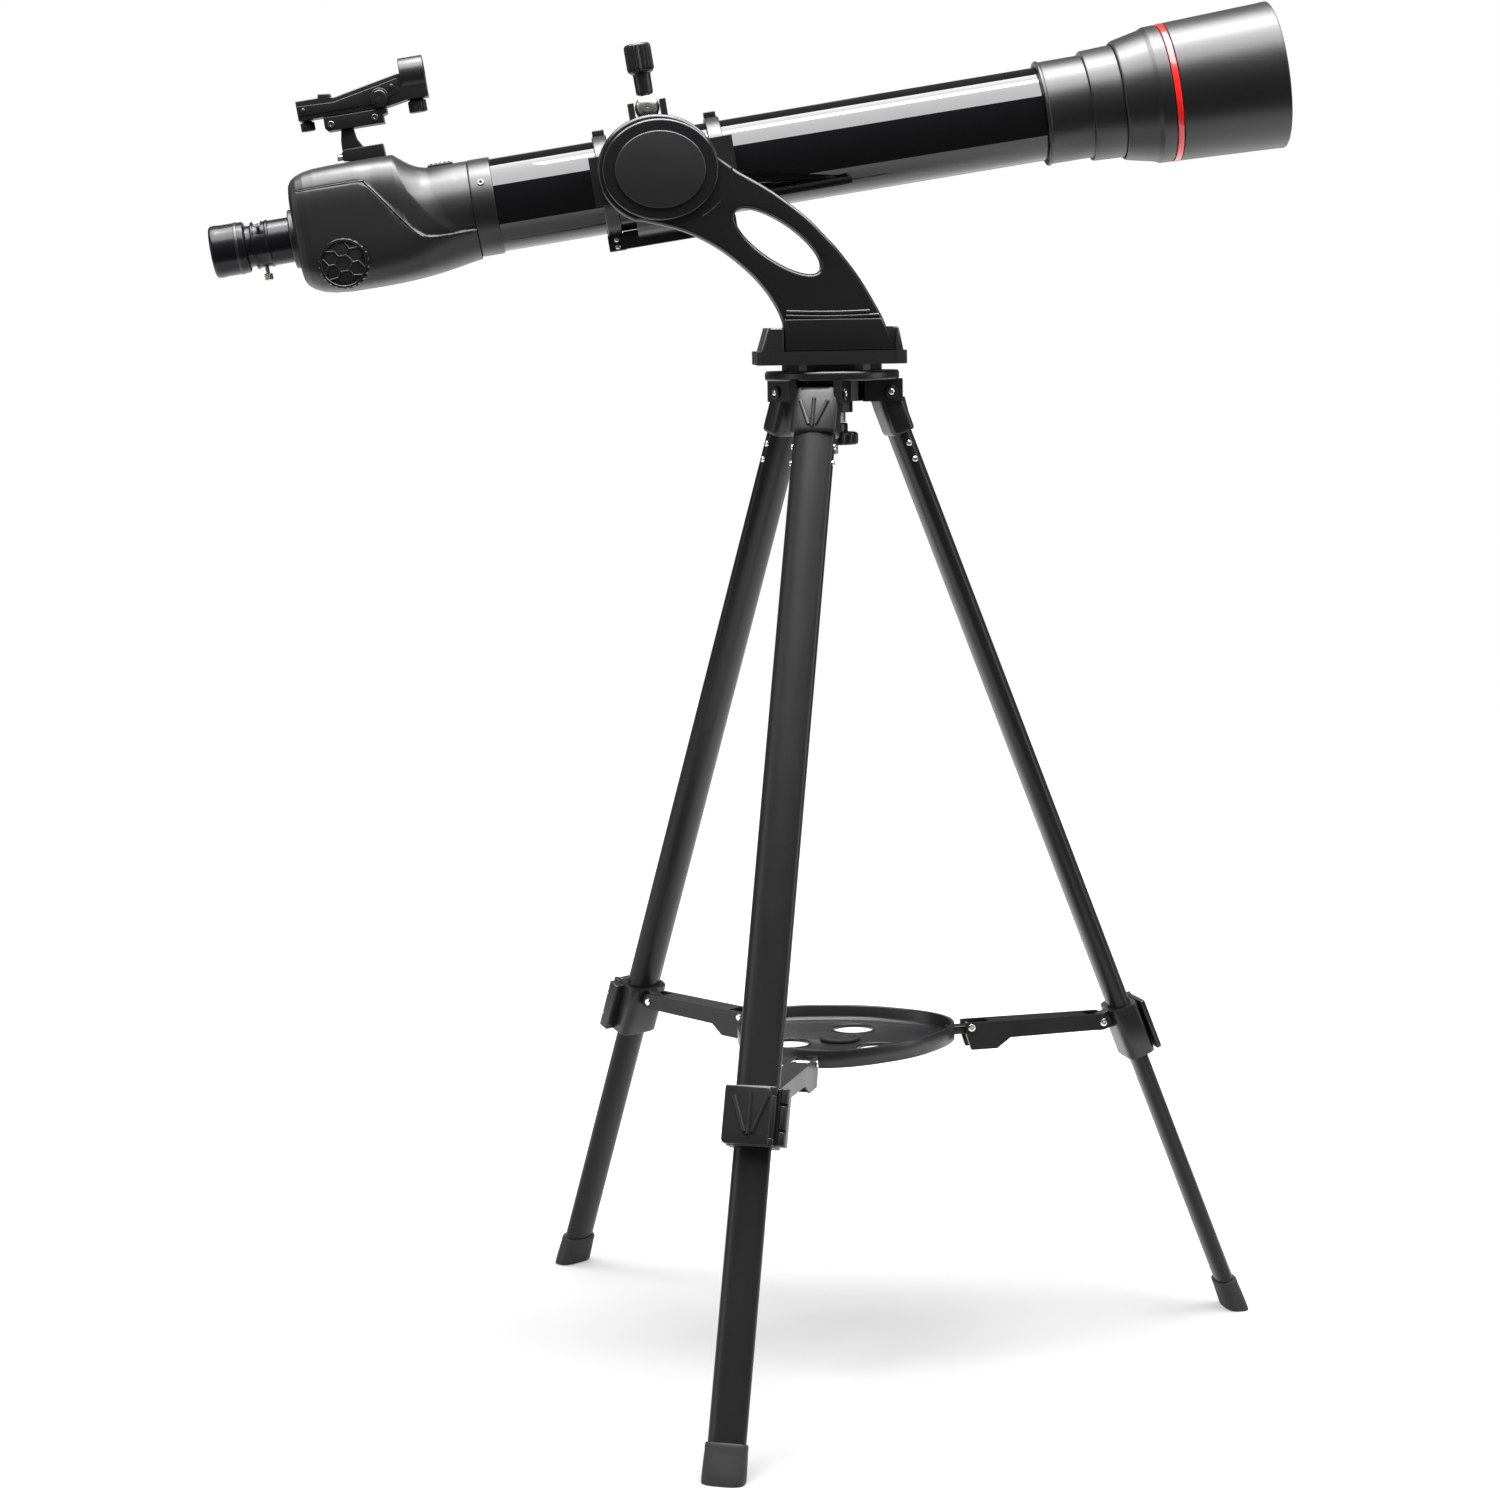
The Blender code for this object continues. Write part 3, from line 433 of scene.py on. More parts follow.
def above_seam(s, h):
    """Signed distance above the moulded step that sweeps from the back down to the neck."""
    best, sign = 1e9, 1
    for (a, b), (c, d) in zip(SEAM, SEAM[1:]):
        run, off = Vector((c - a, d - b)), Vector((s - a, h - b))
        t = max(0.0, min(1.0, off.dot(run) / run.length_squared))
        gap = off - run * t
        if gap.length < best:
            best = gap.length
            sign = 1 if run.x * gap.y - run.y * gap.x > 0 else -1
    return sign * best


def step(value, low, high):
    """Rises smoothly from 0 to 1 between two values."""
    t = max(0.0, min(1.0, (value - low) / (high - low)))
    return t * t * (3 - 2 * t)


CREASE = [(52, -325), (49, -324), (35, -322), (20, -317), (5, -308), (-8, -297), (-18, -285)]


def crease(h):
    """Where the flank breaks towards the round neck, at a height."""
    for (h0, s0), (h1, s1) in zip(CREASE, CREASE[1:]):
        if h1 <= h <= h0:
            return s0 + (s1 - s0) * (h - h0) / (h1 - h0)
    return CREASE[0][1] if h > 0 else CREASE[-1][1]


def housing():
    """The moulded shell: boxy at the back, round at the neck, with a raised lower half."""
    stations = [-271.0 - 135.0 * k / 270 for k in range(271)]
    sections = []
    for s in stations:
        w, top, bottom, power = along_shape(s)
        section = []
        for i in range(260):
            a = TAU * i / 260
            c, d = math.cos(a), math.sin(a)
            y = w * math.copysign(abs(c) ** (2 / power), c)
            centre, half = (top + bottom) / 2, (top - bottom) / 2
            h = centre + half * math.copysign(abs(d) ** (2 / power), d)
            flank = step(abs(y) / w, 0.2, 0.7)
            over = above_seam(s, h)
            span = 9 + 0.28 * max(0.0, h + 10)
            neck = max(0.0, min(1.0, (s - crease(h)) / span)) * step(over, -0.4, 2.0)
            radius = math.hypot(y, h)
            if radius > 36.2:
                pull = 1 + (36.2 / radius - 1) * neck
                y, h = y * pull, h * pull
            inset = 2.0 * step(over, -0.7, 1.1) * step(s, -354, -340) * flank
            groove = 0.7 * (1 - step(abs(over), 0.0, 0.9)) * (1 - step(s, -354, -340))
            inset += groove * flank * step(s, -402, -398)
            y -= math.copysign(inset, y)
            section.append((s, y, h))
        sections.append(section)
    return loft("prism_housing_shell", sections, TUBE, SATIN, T, ("rear_housing",), smooth=50)


def seam_line(side):
    """A fine bright lip along the step."""
    points = []
    for s, h in smooth_curve([(-398, 32.8)] + SEAM[1:-1] + [(-273, -17.0)], 10):
        w, top, bottom, power = along_shape(s)
        centre, half = (top + bottom) / 2, (top - bottom) / 2
        y = w * max(0.0, 1 - abs((h - centre) / half) ** power) ** (1 / power)
        points.append((s, side * (y - 0.35), h))
    bead(f"housing_seam_lip_{side + 1}", points, 0.6, TUBE, GRIP, T)


housing()
for each in (-1, 1):
    seam_line(each)
block("neck_latch", (-300, -7, 34.6), (-281, 7, 37.4), TUBE, SATIN, T, bevel=0.8)
for rib in range(5):
    block(f"neck_latch_rib_{rib}", (-298 + rib * 3.4, -6.4, 37), (-296.2 + rib * 3.4, 6.4, 38.1), TUBE,
          SATIN, T, bevel=0.4)
lathe("focuser_flange", [(22.3, -404.5), (22.3, -409.6), (21.6, -410.4), (17.5, -410.4), (17.5, -404.5)],
      ALONG, SATIN, T)
reface(("erecting_prism",), PRISM, 0.6)

# ------------------------------------------------------------------ focus knob

FOCUS = TUBE @ Matrix.Translation((-372, 0, -25.5)) @ FACING


def focus_knob():
    """A knob on each side of the housing, with a honeycomb face and a fluted rim."""
    rim = [(18.9, 50.6), (19.2, 49.6), (19.2, 42.4), (18.4, 41.0), (2.4, 40.8), (2.4, 48.2), (15.4, 48.2),
           (15.9, 51.0), (16.6, 52.0), (18.0, 51.8)]
    far = [(r, -z) for r, z in rim]
    lathe("focus_knob_grip", rim, FOCUS, GRIP, "focus_shaft", ("focus_knob",), steps=288, ease=0.5,
          ribs=(24, 1.5, 41.6, 51.6, 17.2))
    lathe("focus_knob_grip_far", far, FOCUS, GRIP, "focus_shaft", steps=288, ease=0.5,
          ribs=(24, 1.5, -51.6, -41.6, 17.2))
    lathe("focus_spindle", [(0, 50), (2.4, 50), (2.4, -50), (0, -50)], FOCUS, CHROME, "focus_shaft",
          steps=48, ease=0.2)
    for side in (1, -1):
        z = 50.2 * side
        lathe(f"focus_knob_face_{side + 1}", [(0, z + 0.9 * side), (9, z + 0.7 * side), (16.2, z),
                                              (16.2, z - 1.6 * side), (0, z - 1.6 * side)], FOCUS, MOULDED,
              "focus_shaft", ease=0.3)
        cell = [(6.6 * math.cos(TAU * k / 6), 6.6 * math.sin(TAU * k / 6), z + 0.9 * side)
                for k in range(6)]
        bead(f"focus_knob_hexagon_{side + 1}", cell, 0.75, FOCUS, GRIP, "focus_shaft", cyclic=True)
        for k in range(6):
            a = TAU * k / 6
            fork = (11.2 * math.cos(a), 11.2 * math.sin(a), z + 0.75 * side)
            bead(f"focus_knob_spoke_{side + 1}_{k}", [cell[k], fork], 0.75, FOCUS, GRIP, "focus_shaft")
            for turn in (-0.34, 0.34):
                tip = (16.0 * math.cos(a + turn), 16.0 * math.sin(a + turn), z + 0.3 * side)
                bead(f"focus_knob_fork_{side + 1}_{k}_{turn > 0}", [fork, tip], 0.75, FOCUS, GRIP,
                     "focus_shaft")


focus_knob()

# ------------------------------------------------------------------ eyepiece end

lathe("focus_drawtube", [(17.0, -350), (17.0, -426.2), (17.8, -427), (17.8, -428.4), (17.2, -429),
                         (17.2, -437.6), (17.9, -438.2), (17.9, -439.2), (17.2, -439.8), (16.1, -439.8),
                         (16.1, -350)], ALONG, OCULAR, "drawtube", ("drawtube",), ease=0.4)
lathe("eyepiece_shell", [(15.85, -408), (15.85, -440), (15.5, -440.4), (15.5, -444), (18.6, -445),
                         (19.2, -446), (19.4, -452), (19.4, -463), (19.8, -466.5), (19.6, -469.6),
                         (18.2, -471.2), (14.6, -471.2), (13.4, -468), (12.6, -464), (13.8, -440),
                         (13.8, -408)], ALONG, OCULAR, "eyepiece", ("eyepiece_body",), ease=0.8)
lathe("eyepiece_band", [(19.55, -450), (19.7, -450.6), (19.7, -451.6), (19.55, -452.2), (19.0, -452.2),
                        (19.0, -450)], ALONG, SHIELD, "eyepiece", ease=0.2)
lathe("eyepiece_glass", dome(12.4, -463, -461.5, -458.5, -457), ALONG, GLASS, "eyepiece",
      ("eyepiece_lens",), ease=0)
for label, turned in (("near", 50), ("low", 180)):
    place = TUBE @ Matrix.Translation((-433, 0, 0)) @ Matrix.Rotation(math.radians(turned), 4, "X")
    lathe(f"clamp_screw_{label}", [(0, 27.5), (2.8, 27.4), (3.3, 26.8), (3.3, 22.6), (2.8, 22.0), (1.5, 22),
                                   (1.5, 16.4), (0, 16.4)], place, CHROME, f"screw_{label}",
          (f"eyepiece_lock_screw_{label}",), steps=120, ease=0.3, ribs=(24, 0.3, 22.2, 27.2, 2.6))

# ------------------------------------------------------------------ cradle and slow motion

for label, low in (("rear", -174.5), ("front", -88.5)):
    lathe(f"cradle_band_{label}", [(38.4, low + 10.4), (38.4, low + 0.6), (37.8, low), (35.3, low),
                                   (35.3, low + 11), (37.8, low + 11)], ALONG, MOULDED, T,
          (f"tube_ring_{label}",), ease=0.5)
reface(("cradle_saddle", "altitude_disc", "slow_motion_fork"), MOULDED, 0.7)
reface(("altitude_axle",), CHROME, 0.4)
block("clamp_spine", (-163, -7, -42.5), (-88, 7, -35.4), TUBE, MOULDED, T, bevel=0.8)
PIN = TUBE @ Matrix.Translation((PIVOT_S, 0, 53)) @ FACING
lathe("trunnion_barrel", [(0, 9.4), (3.6, 9.1), (6.4, 8.2), (8.4, 6.8), (9.3, 5.2), (9.3, -5.2),
                          (8.4, -6.8), (6.4, -8.2), (3.6, -9.1), (0, -9.4)], PIN, CHROME, T,
      ("slow_motion_trunnion",), steps=96, ease=0.5)
for label, low in (("rear", -175), ("front", -89.5)):
    block(f"clamp_lug_{label}", (low, -8.6, -49), (low + 13, 8.6, -36.4), TUBE, MOULDED, T, bevel=0.9)
    block(f"clamp_lug_top_{label}", (low + 1.5, -6, 37.2), (low + 10.5, 6, 42.4), TUBE, MOULDED, T,
          bevel=0.9)
    for drop in (-46, -40.6):
        lathe(f"clamp_screw_{label}_{-int(drop)}", [(0, 9.9), (1.3, 9.8), (1.9, 9.3), (1.9, 8.2), (0, 8.2)],
              SIDEWAYS @ Matrix.Translation((low + 6.5, drop, 0)), CHROME, T, steps=32, ease=0.2)
lathe("fine_knob", [(0, 101), (8.4, 101), (9.8, 100), (10.3, 98.4), (10.3, 82.4), (9.6, 80.4), (8.2, 79),
                    (6.9, 78.4), (6.7, 77), (6.5, 64), (5.8, 62.8), (3.1, 62.6), (3.1, 44.6), (0, 44.6)],
      TUBE @ Matrix.Translation((PIVOT_S, 0, 0)), MOULDED, "fine_altitude", ("slow_motion_screw",),
      steps=240, ease=0.7, ribs=(20, 1.0, 80.5, 99.6, 9.2))

# ------------------------------------------------------------------ finder

HOOP = TUBE @ Matrix.Translation((0, 0, 106)) @ Matrix(((0, 0, 1, 0), (0, 1, 0, 0), (-1, 0, 0, 0),
                                                        (0, 0, 0, 1)))


def finder():
    """The red-dot finder on its rail, stalk and shoe."""
    side = [(-389, 84.9), (-322, 84.9), (-314, 86.2), (-306.5, 87.6), (-290, 87.6), (-290, 104),
            (-307.5, 104), (-308.5, 107.6), (-311, 107.8), (-360, 98.2), (-362.3, 98.6), (-362.6, 101.4),
            (-371.4, 102.4), (-372, 99.6), (-389, 99.6)]
    plate("finder_shell", [side], -10, 10, SIDEWAYS, MOULDED, T, ("finder_body",), bevel=0.9)
    lathe("finder_hoop", [(13.2, -290), (13.2, -308.5), (11.2, -308.5), (11.2, -290)], HOOP, MOULDED, T,
          ease=0.7)
    lathe("finder_lens_disc", [(0, -293.2), (11.0, -293.2), (11.0, -294.4), (0, -294.4)], HOOP, GLASS, T,
          ("finder_window",), ease=0.2)
    plate("finder_cheek_line", [[(-388, 88.4), (-330, 88.6), (-311, 94), (-311, 104.5), (-330, 100.6),
                                 (-361, 94.6), (-388, 95.6)]], 9.6, 10.8, SIDEWAYS, MOULDED, T, bevel=0.5)
    for s, h in ((-384.2, 92), (-316, 99)):
        lathe(f"finder_side_screw_{-int(s)}", [(0, 11.9), (1.1, 11.9), (1.7, 11.4), (1.7, 10.4), (0, 10.4)],
              SIDEWAYS @ Matrix.Translation((s, h, 0)), MOULDED, T, steps=32, ease=0.2)
    rail = [(-370.5, 84.4), (-370.5, 76.4), (-368.6, 74), (-326, 73.6), (-326, 79.4), (-322.6, 80.6),
            (-322.6, 84.4)]
    plate("finder_rail", [rail], -10.4, 10.4, SIDEWAYS, MOULDED, T, ("finder_bracket",), bevel=0.8)
    for s in (-365.4, -332.2):
        lathe(f"rail_screw_{-int(s)}", [(0.9, 11.6), (2.2, 11.6), (2.6, 11.2), (2.6, 10.2), (0, 10.2),
                                        (0, 10.9), (0.9, 10.9)],
              SIDEWAYS @ Matrix.Translation((s, 78.6, 0)), STEEL, T, steps=40, ease=0.2)
    stalk = [(-361, 58.4), (-344.6, 58.4), (-348.8, 66), (-350, 74), (-359, 74), (-360.6, 66)]
    plate("finder_stalk", [stalk], -6.5, 6.5, SIDEWAYS, MOULDED, T, bevel=0.9)
    shoe = [(-361.6, 51.2), (-361.6, 56.6), (-359.4, 59), (-330, 58.8), (-329.6, 49.4), (-352, 49.4)]
    plate("finder_shoe", [shoe], -9, 9, SIDEWAYS, MOULDED, T, bevel=0.7)
    lathe("shoe_screw", [(0, 366), (2.2, 366), (2.4, 365.4), (2.4, 361.4), (0, 361.4)],
          TUBE @ Matrix.Translation((0, 0, 54)) @ Matrix.Rotation(math.radians(-90), 4, "Y"), CHROME, T,
          steps=60, ease=0.2)
    wheel = SIDEWAYS @ Matrix.Translation((-326, 92.5, 0))
    lathe("finder_dial", [(0, 14.4), (4.6, 14.4), (5, 13.9), (5.2, 13.6), (6.4, 13.6), (7, 13.2), (7, 10.9),
                          (0, 10.9)], wheel, MOULDED, "finder_power", ("finder_power_knob",), steps=200,
          ease=0.3, ribs=(24, 0.5, 10.9, 13.3, 6.2))
    for label, s, radius, low, top in (("rear", -383.5, 5.4, 77, 84.5), ("front", -299.5, 6.9, 77.6, 87.4)):
        body = "finder_windage" if label == "rear" else "finder_elevation"
        lathe(f"finder_knob_{label}", [(0, top), (radius - 1.6, top), (radius - 1.5, top - 0.8),
                                       (radius, top - 1.2), (radius, low + 0.6), (radius - 0.6, low),
                                       (0, low)], TUBE @ Matrix.Translation((s, 0, 0)), MOULDED, body,
              (f"finder_adjust_knob_{label}",), steps=160, ease=0.4,
              ribs=(22, 0.6, low + 0.4, top - 2, radius - 0.8))


finder()

# ------------------------------------------------------------------ mount arm

UPRIGHT = MOUNT @ FACING        # X along the telescope, Y up, Z towards the arm's side
HEAD = (-128.0, 910.8)


def arm_outline():
    """The arm seen from its side: a round head, a curved neck and a wide foot."""
    head = []
    start, end = math.radians(13), math.radians(247)
    for i in range(60):
        a = start + (end - start) * i / 59
        head.append((HEAD[0] - 1.5 + 45 * math.cos(a), HEAD[1] + 40.5 * math.sin(a)))
    belly = smooth_curve([(-142, 873.4), (-118, 867.6), (-99.4, 860.2), (-81, 849.2), (-62.4, 833.6),
                          (-50.2, 819.5), (-42.5, 807), (-38.5, 797)], 5)
    back = smooth_curve([(37, 797), (32.6, 806), (18.8, 829.6), (3.4, 850.2), (-5.9, 860.4), (-21.3, 876),
                         (-45.9, 894.6), (-70.6, 909)], 5)
    return head + belly + [(-38, 776.4), (44.5, 776.4)] + back


WINDOW = oval(75.6, 26.8, 64, (-41.8, 857.3), math.radians(-35))
plate("mount_arm_shell", [arm_outline(), WINDOW], 18.3, 41, UPRIGHT, CAST, "yoke", ("mount_arm",),
      bevel=3.0, rounds=6)
plate("arm_head_ring", [oval(86, 74, 96, HEAD)], 40, 45.2, UPRIGHT, CAST, "yoke", bevel=2.0, rounds=5)
bead("arm_boss_edge", [(HEAD[0] + 53 * math.cos(a / 30), HEAD[1] + 42 * math.sin(a / 30), 40.9)
                       for a in range(-29, 7)], 0.55, UPRIGHT, CAST, "yoke")
plate("arm_head_cap", [oval(67, 56.5, 96, HEAD)], 45, 47.5, UPRIGHT, SATIN, "yoke", ("arm_boss_cap",),
      bevel=1.0)
plate("arm_foot_face", [[(-37.8, 776.5), (44.3, 776.5), (34.6, 799.8), (-37.8, 799.8)]], 39, 42.4, UPRIGHT,
      CAST, "yoke", bevel=1.0)
for level, right in ((802.4, 33.4), (805.6, 31.6)):
    bead(f"arm_foot_ridge_{int(level)}", [(-36.4 + 6.9 * k, level - 0.9 * math.sin(math.pi * k / 10), 41.1)
                                          for k in range(11) if -36.4 + 6.9 * k < right], 1.15, UPRIGHT,
         CAST, "yoke")

# ------------------------------------------------------------------ base, hub and lock knob

reface(("mount_base",), MOULDED, 1.4)
for side, low_x, high_x in (("left", (-55, -38.7), (-50, -38.7)), ("right", (45.2, 50.6), (45.2, 47.2))):
    sections = []
    for z, (x0, x1), near in ((776.2, low_x, -44.2), (792.6, high_x, -43.8),
                              (793.5, (high_x[0] + 0.8, high_x[1] - 0.6), -43.0)):
        sections.append([(x, y, z) for x, y in eased([(x0, near), (x1, near), (x1, -15.8),
                                                      (x0, -15.8)], 1.5, 3)])
    loft(f"base_wall_{side}", sections, MOUNT, MOULDED, "yoke")
reface(("tripod_hub",), MOULDED, 0.7)
lathe("hub_flange", [(20, 753.8), (49.4, 753.8), (50.6, 754.6), (50.9, 756.0), (50.9, 759.5), (50.0, 760.9),
                     (20, 760.9)], MOUNT, MOULDED, "tripod_hub", steps=160, ease=0.8)
reface(("azimuth_bolt",), CHROME, 0.4)
lathe("azimuth_knob", [(4.5, 721.4), (11.0, 721.4), (11.6, 720.6), (11.6, 715), (17.6, 714.6),
                       (19.2, 713.4), (19.5, 712), (19.5, 707), (19.0, 705.6), (17.6, 705), (4.5, 705)],
      MOUNT, MOULDED, "azimuth_lock", ("azimuth_lock_knob",), steps=240, ease=0.5,
      ribs=(20, 1.2, 705.3, 714.2, 18.4))

# ------------------------------------------------------------------ legs


def leg(name):
    """One leg: socket, two tubes, collar with its lever, rivets, pins and boot."""
    place, body = leg_frame(name), f"leg_{name}"
    for part, width, depth, low, high, owner in (("upper_tube", 32.2, 15.4, -544, -16.6, body),
                                                 ("lower_tube", 28.0, 11.8, -784, -332,
                                                  f"lower_leg_{name}")):
        section = oval(width, depth + 1.4, 72, power=2.15)
        loft(f"{part}_{name}_skin", [[(x, y, z) for x, y in section] for z in (high, low)], place, LEG,
             owner, (f"leg_{name}_{part}",))
    boots = []
    for z, grow in ((-771.4, -0.8), (-772.2, -0.1), (-774, 0.3), (-776.5, 0.0), (-780, 0.4), (-792, 1.2)):
        boots.append([(x, y, z) for x, y in oval(30.4 + grow, 16.0 + grow, 72, power=3.0)])
    tilt = math.atan2(place.to_3x3().col[1].z, place.to_3x3().col[2].z)
    for lift, shrink in ((1.6, 0.0), (0.35, -0.7)):
        boots.append([(x, y, -798.5 + lift - y * math.tan(tilt))
                      for x, y in oval(31.6 + shrink, 17.2 + shrink, 72, power=3.0)])
    loft(f"boot_{name}", boots, place, BOOT, f"lower_leg_{name}", (f"leg_{name}_foot",))
    reface((f"leg_{name}_brace_arm",), LEG, 0.5)
    bolt = frame["nodes"][f"leg_{name}_bolt"]
    half = max(abs((place.inverted() @ bolt.matrix_world @ v.co).x) for v in bolt.data.vertices)
    across = place @ Matrix.Rotation(math.radians(90), 4, "Y")
    half_bolt = [(0, half - 0.7), (4.4, half - 0.7), (4.8, half - 1.2), (4.8, half - 2.2),
                 (2.9, half - 2.4)]
    lathe(f"hip_bolt_{name}", half_bolt + [(r, -z) for r, z in reversed(half_bolt)], across, MOULDED,
          "tripod_hub", (f"leg_{name}_bolt",), steps=64, ease=0.3)
    for end in (1, -1):
        lathe(f"hip_bolt_head_{name}_{end + 1}", [(0, end * half), (1.4, end * (half - 0.1)),
                                                  (2.3, end * (half - 0.5)), (2.3, end * (half - 1)),
                                                  (0, end * (half - 1))], across, CHROME, "tripod_hub",
              steps=40, ease=0.2)
    sleeve = [(2.5, 33.4, 15.6), (1.6, 35.4, 17.4), (-2, 36, 18.4), (-12, 36, 19.6), (-30, 36, 19.6),
              (-32.4, 35.4, 19.0), (-33.2, 34.4, 18.0)]
    loft(f"socket_{name}_cup", [[(x, y, z) for x, y in oval(w, t, 72, power=4.2)] for z, w, t in sleeve],
         place, MOULDED, body, (f"leg_{name}_socket",))
    lathe(f"socket_{name}_knuckle", [(3.3, 13.6), (6.4, 13.6), (7, 13), (7, -13), (6.4, -13.6),
                                     (3.3, -13.6)], across, MOULDED, body, steps=64)
    collar = [(-522, 36.4, 21.4), (-523, 37.4, 22.6), (-564, 37.4, 22.6), (-565, 36.4, 21.4)]
    loft(f"collar_{name}_clamp", [[(x, y, z) for x, y in oval(w, t, 72, power=5)] for z, w, t in collar],
         place, MOULDED, body, (f"leg_{name}_collar",))
    lug = [(-25.6, -524.4), (-25.6, -533), (-23.4, -535), (-10, -537), (-10, -522.8), (-23.4, -522.8)]
    plate(f"collar_{name}_lug", [lug], -4.8, 4.8,
          place @ Matrix(((0, 0, 1, 0), (1, 0, 0, 0), (0, 1, 0, 0), (0, 0, 0, 1))), MOULDED, body,
          bevel=0.8)
    hinge = place @ Matrix.Translation((LEVER_X, LEVER_Y, 0))
    for top, bottom in ((-523, -528.6), (-559.4, -564.6)):
        lathe(f"collar_{name}_knuckle_{-int(top)}", [(0, top), (2.9, top), (2.9, bottom), (0, bottom)],
              hinge, MOULDED, body, steps=48)
        block(f"collar_{name}_web_{-int(top)}", (-18.2, 9.5, bottom), (-13.6, 12.4, top), place, MOULDED,
              body, bevel=0.4)
    lathe(f"lever_{name}_barrel", [(0, -529), (2.7, -529), (2.7, -559), (0, -559)], hinge, MOULDED,
          f"lever_{name}", steps=48)
    plate(f"lever_{name}_plate", [eased([(-16.2, -529.4), (-13, -523.2), (19.2, -522.6), (19.6, -525),
                                         (19.6, -562), (18, -564.4), (-13, -564.8), (-16.2, -558.6)], 1.6)],
          -15.9, -12.1, place @ FACING, MOULDED, f"lever_{name}", (f"leg_{name}_lock_lever",), bevel=0.9)
    block(f"collar_{name}_hinge_leaf", (-26.5, 3, -564.4), (-17.6, 11.4, -523.4), place, MOULDED, body,
          bevel=1.0)
    for low, high in ((-534, -523.8), (-552.5, -536), (-564, -554.5)):
        lathe(f"collar_{name}_hinge_roll_{-int(low)}", [(0, high), (3.0, high), (3.0, low), (0, low)],
              place @ Matrix.Translation((-23.4, 10.6, 0)), MOULDED, body, steps=48)
    for where, owner, y, top, bottom, wide, thick in (("socket", body, 9.6, -9.0, -29, 10.5, 1.6),
                                                      ("lever", f"lever_{name}", 15.7, -530, -557, 12.5,
                                                       1.7)):
        for side in (-1, 0, 1):
            start = (side * wide, y, top if side else top + 2.0)
            bead(f"{where}_rib_{name}_{side + 1}", [start, (side * 2.8, y, bottom + abs(side) * 1.5)],
                 thick, place, MOULDED, owner)
    for side in (-1, 1):
        for depth in (42, 55):
            rivet = place @ Matrix.Translation((0, 0, -depth)) @ Matrix.Rotation(side * math.radians(90), 4,
                    "Y")
            lathe(f"rivet_{name}_{side + 1}_{depth}", [(0, 17.4), (1.5, 17.2), (2.2, 16.6), (2.2, 15.4),
                                                       (0, 15.4)], rivet, CHROME, body, steps=32, ease=0.2)
    hinge_pin = across @ Matrix.Translation((HINGE_DEPTH, HINGE_Y, 0))
    lathe(f"brace_pin_{name}", [(0, 10.8), (2.0, 10.8), (3.0, 10.4), (3.0, 9.6), (2.1, 9.6), (2.1, -9.6),
                                (3.0, -9.6), (3.0, -10.4), (2.0, -10.8), (0, -10.8)], hinge_pin, CHROME,
          body, steps=40, ease=0.2)


for each in LEGS:
    leg(each)

TRAY = MOUNT @ Matrix.Rotation(math.radians(LEG_AZIMUTH), 4, "Z")


def tray_outline(inset, count=240):
    """A round tray drawn out towards the three legs."""
    made = []
    for i in range(count):
        a = TAU * i / count
        r = 79.0 + 12.0 * ((1 + math.cos(3 * a)) / 2) ** 1.6 - inset
        made.append((r * math.sin(a), -r * math.cos(a)))
    return made


def tray():
    """The accessory tray: floor, rim, three holes, centre boss and a tongue for each brace arm."""
    holes = []
    for k in range(3):
        a = TAU / 6 + TAU * k / 3
        spot = (41 * math.sin(a), -41 * math.cos(a))
        holes.append(oval(31.6, 31.6, 64, spot))
        lip = [(spot[0] + 16.9 * math.cos(TAU * i / 64), spot[1] + 16.9 * math.sin(TAU * i / 64), 243.3)
               for i in range(64)]
        bead(f"tray_hole_lip_{k}", lip, 0.7, TRAY, MOULDED, "tray", cyclic=True)
    plate("tray_floor_panel", [tray_outline(1.6)] + holes, 241.0, 243.3, TRAY, TRAY_SKIN, "tray",
          ("accessory_tray",), bevel=0.3)
    rings = []
    for inset, z in ((0.6, 241), (0.0, 241.6), (0.0, 253.6), (0.5, 254.5), (2.2, 254.5), (2.8, 253.8),
                     (3.0, 246.4), (4.4, 244.0), (7.0, 243.2), (7.0, 242.4), (2.0, 242.0)):
        rings.append([(x, y, z) for x, y in tray_outline(inset)])
    bm = bmesh.new()
    made = [[bm.verts.new(p) for p in ring] for ring in rings]
    for near, far in zip(made, made[1:] + made[:1]):
        for i in range(len(near)):
            bm.faces.new((near[i], near[i - 1], far[i - 1], far[i]))
    keep("tray_rim", bm, TRAY, MOULDED, "tray", smooth=50)
    lathe("tray_boss", [(0, 245.2), (10.5, 245.2), (12.6, 244.0), (12.8, 242), (0, 242)], TRAY, TRAY_SKIN,
          "tray", ease=0.6)
    arc = [(13.8 * math.cos(math.radians(a)), 13.8 * math.sin(math.radians(a)), 244.8)
           for a in range(-172, 42, 6)]
    bead("tray_boss_collar", arc, 2.0, TRAY, BAFFLE, "tray")
    for k in range(3):
        turned = TRAY @ Matrix.Rotation(TAU * k / 3, 4, "Z")
        plate(f"tray_tongue_{k}", [eased([(-5.0, -107.0), (5.0, -107.0), (5.0, -86), (-5.0, -86)], 3)],
              242.2, 248.8, turned, MOULDED, "tray", bevel=0.8)
        pin = turned @ Matrix.Translation((0, -104.2, 247.8)) @ Matrix.Rotation(math.radians(90), 4, "Y")
        lathe(f"tray_pin_{k}", [(0, 10.9), (2.0, 10.9), (2.9, 10.5), (2.9, 9.7), (2.1, 9.7), (2.1, -9.7),
                                (2.9, -9.7), (2.9, -10.5), (2.0, -10.9), (0, -10.9)], pin, CHROME, "tray",
              steps=40, ease=0.2)


tray()

# ------------------------------------------------------------------ stage, light and camera


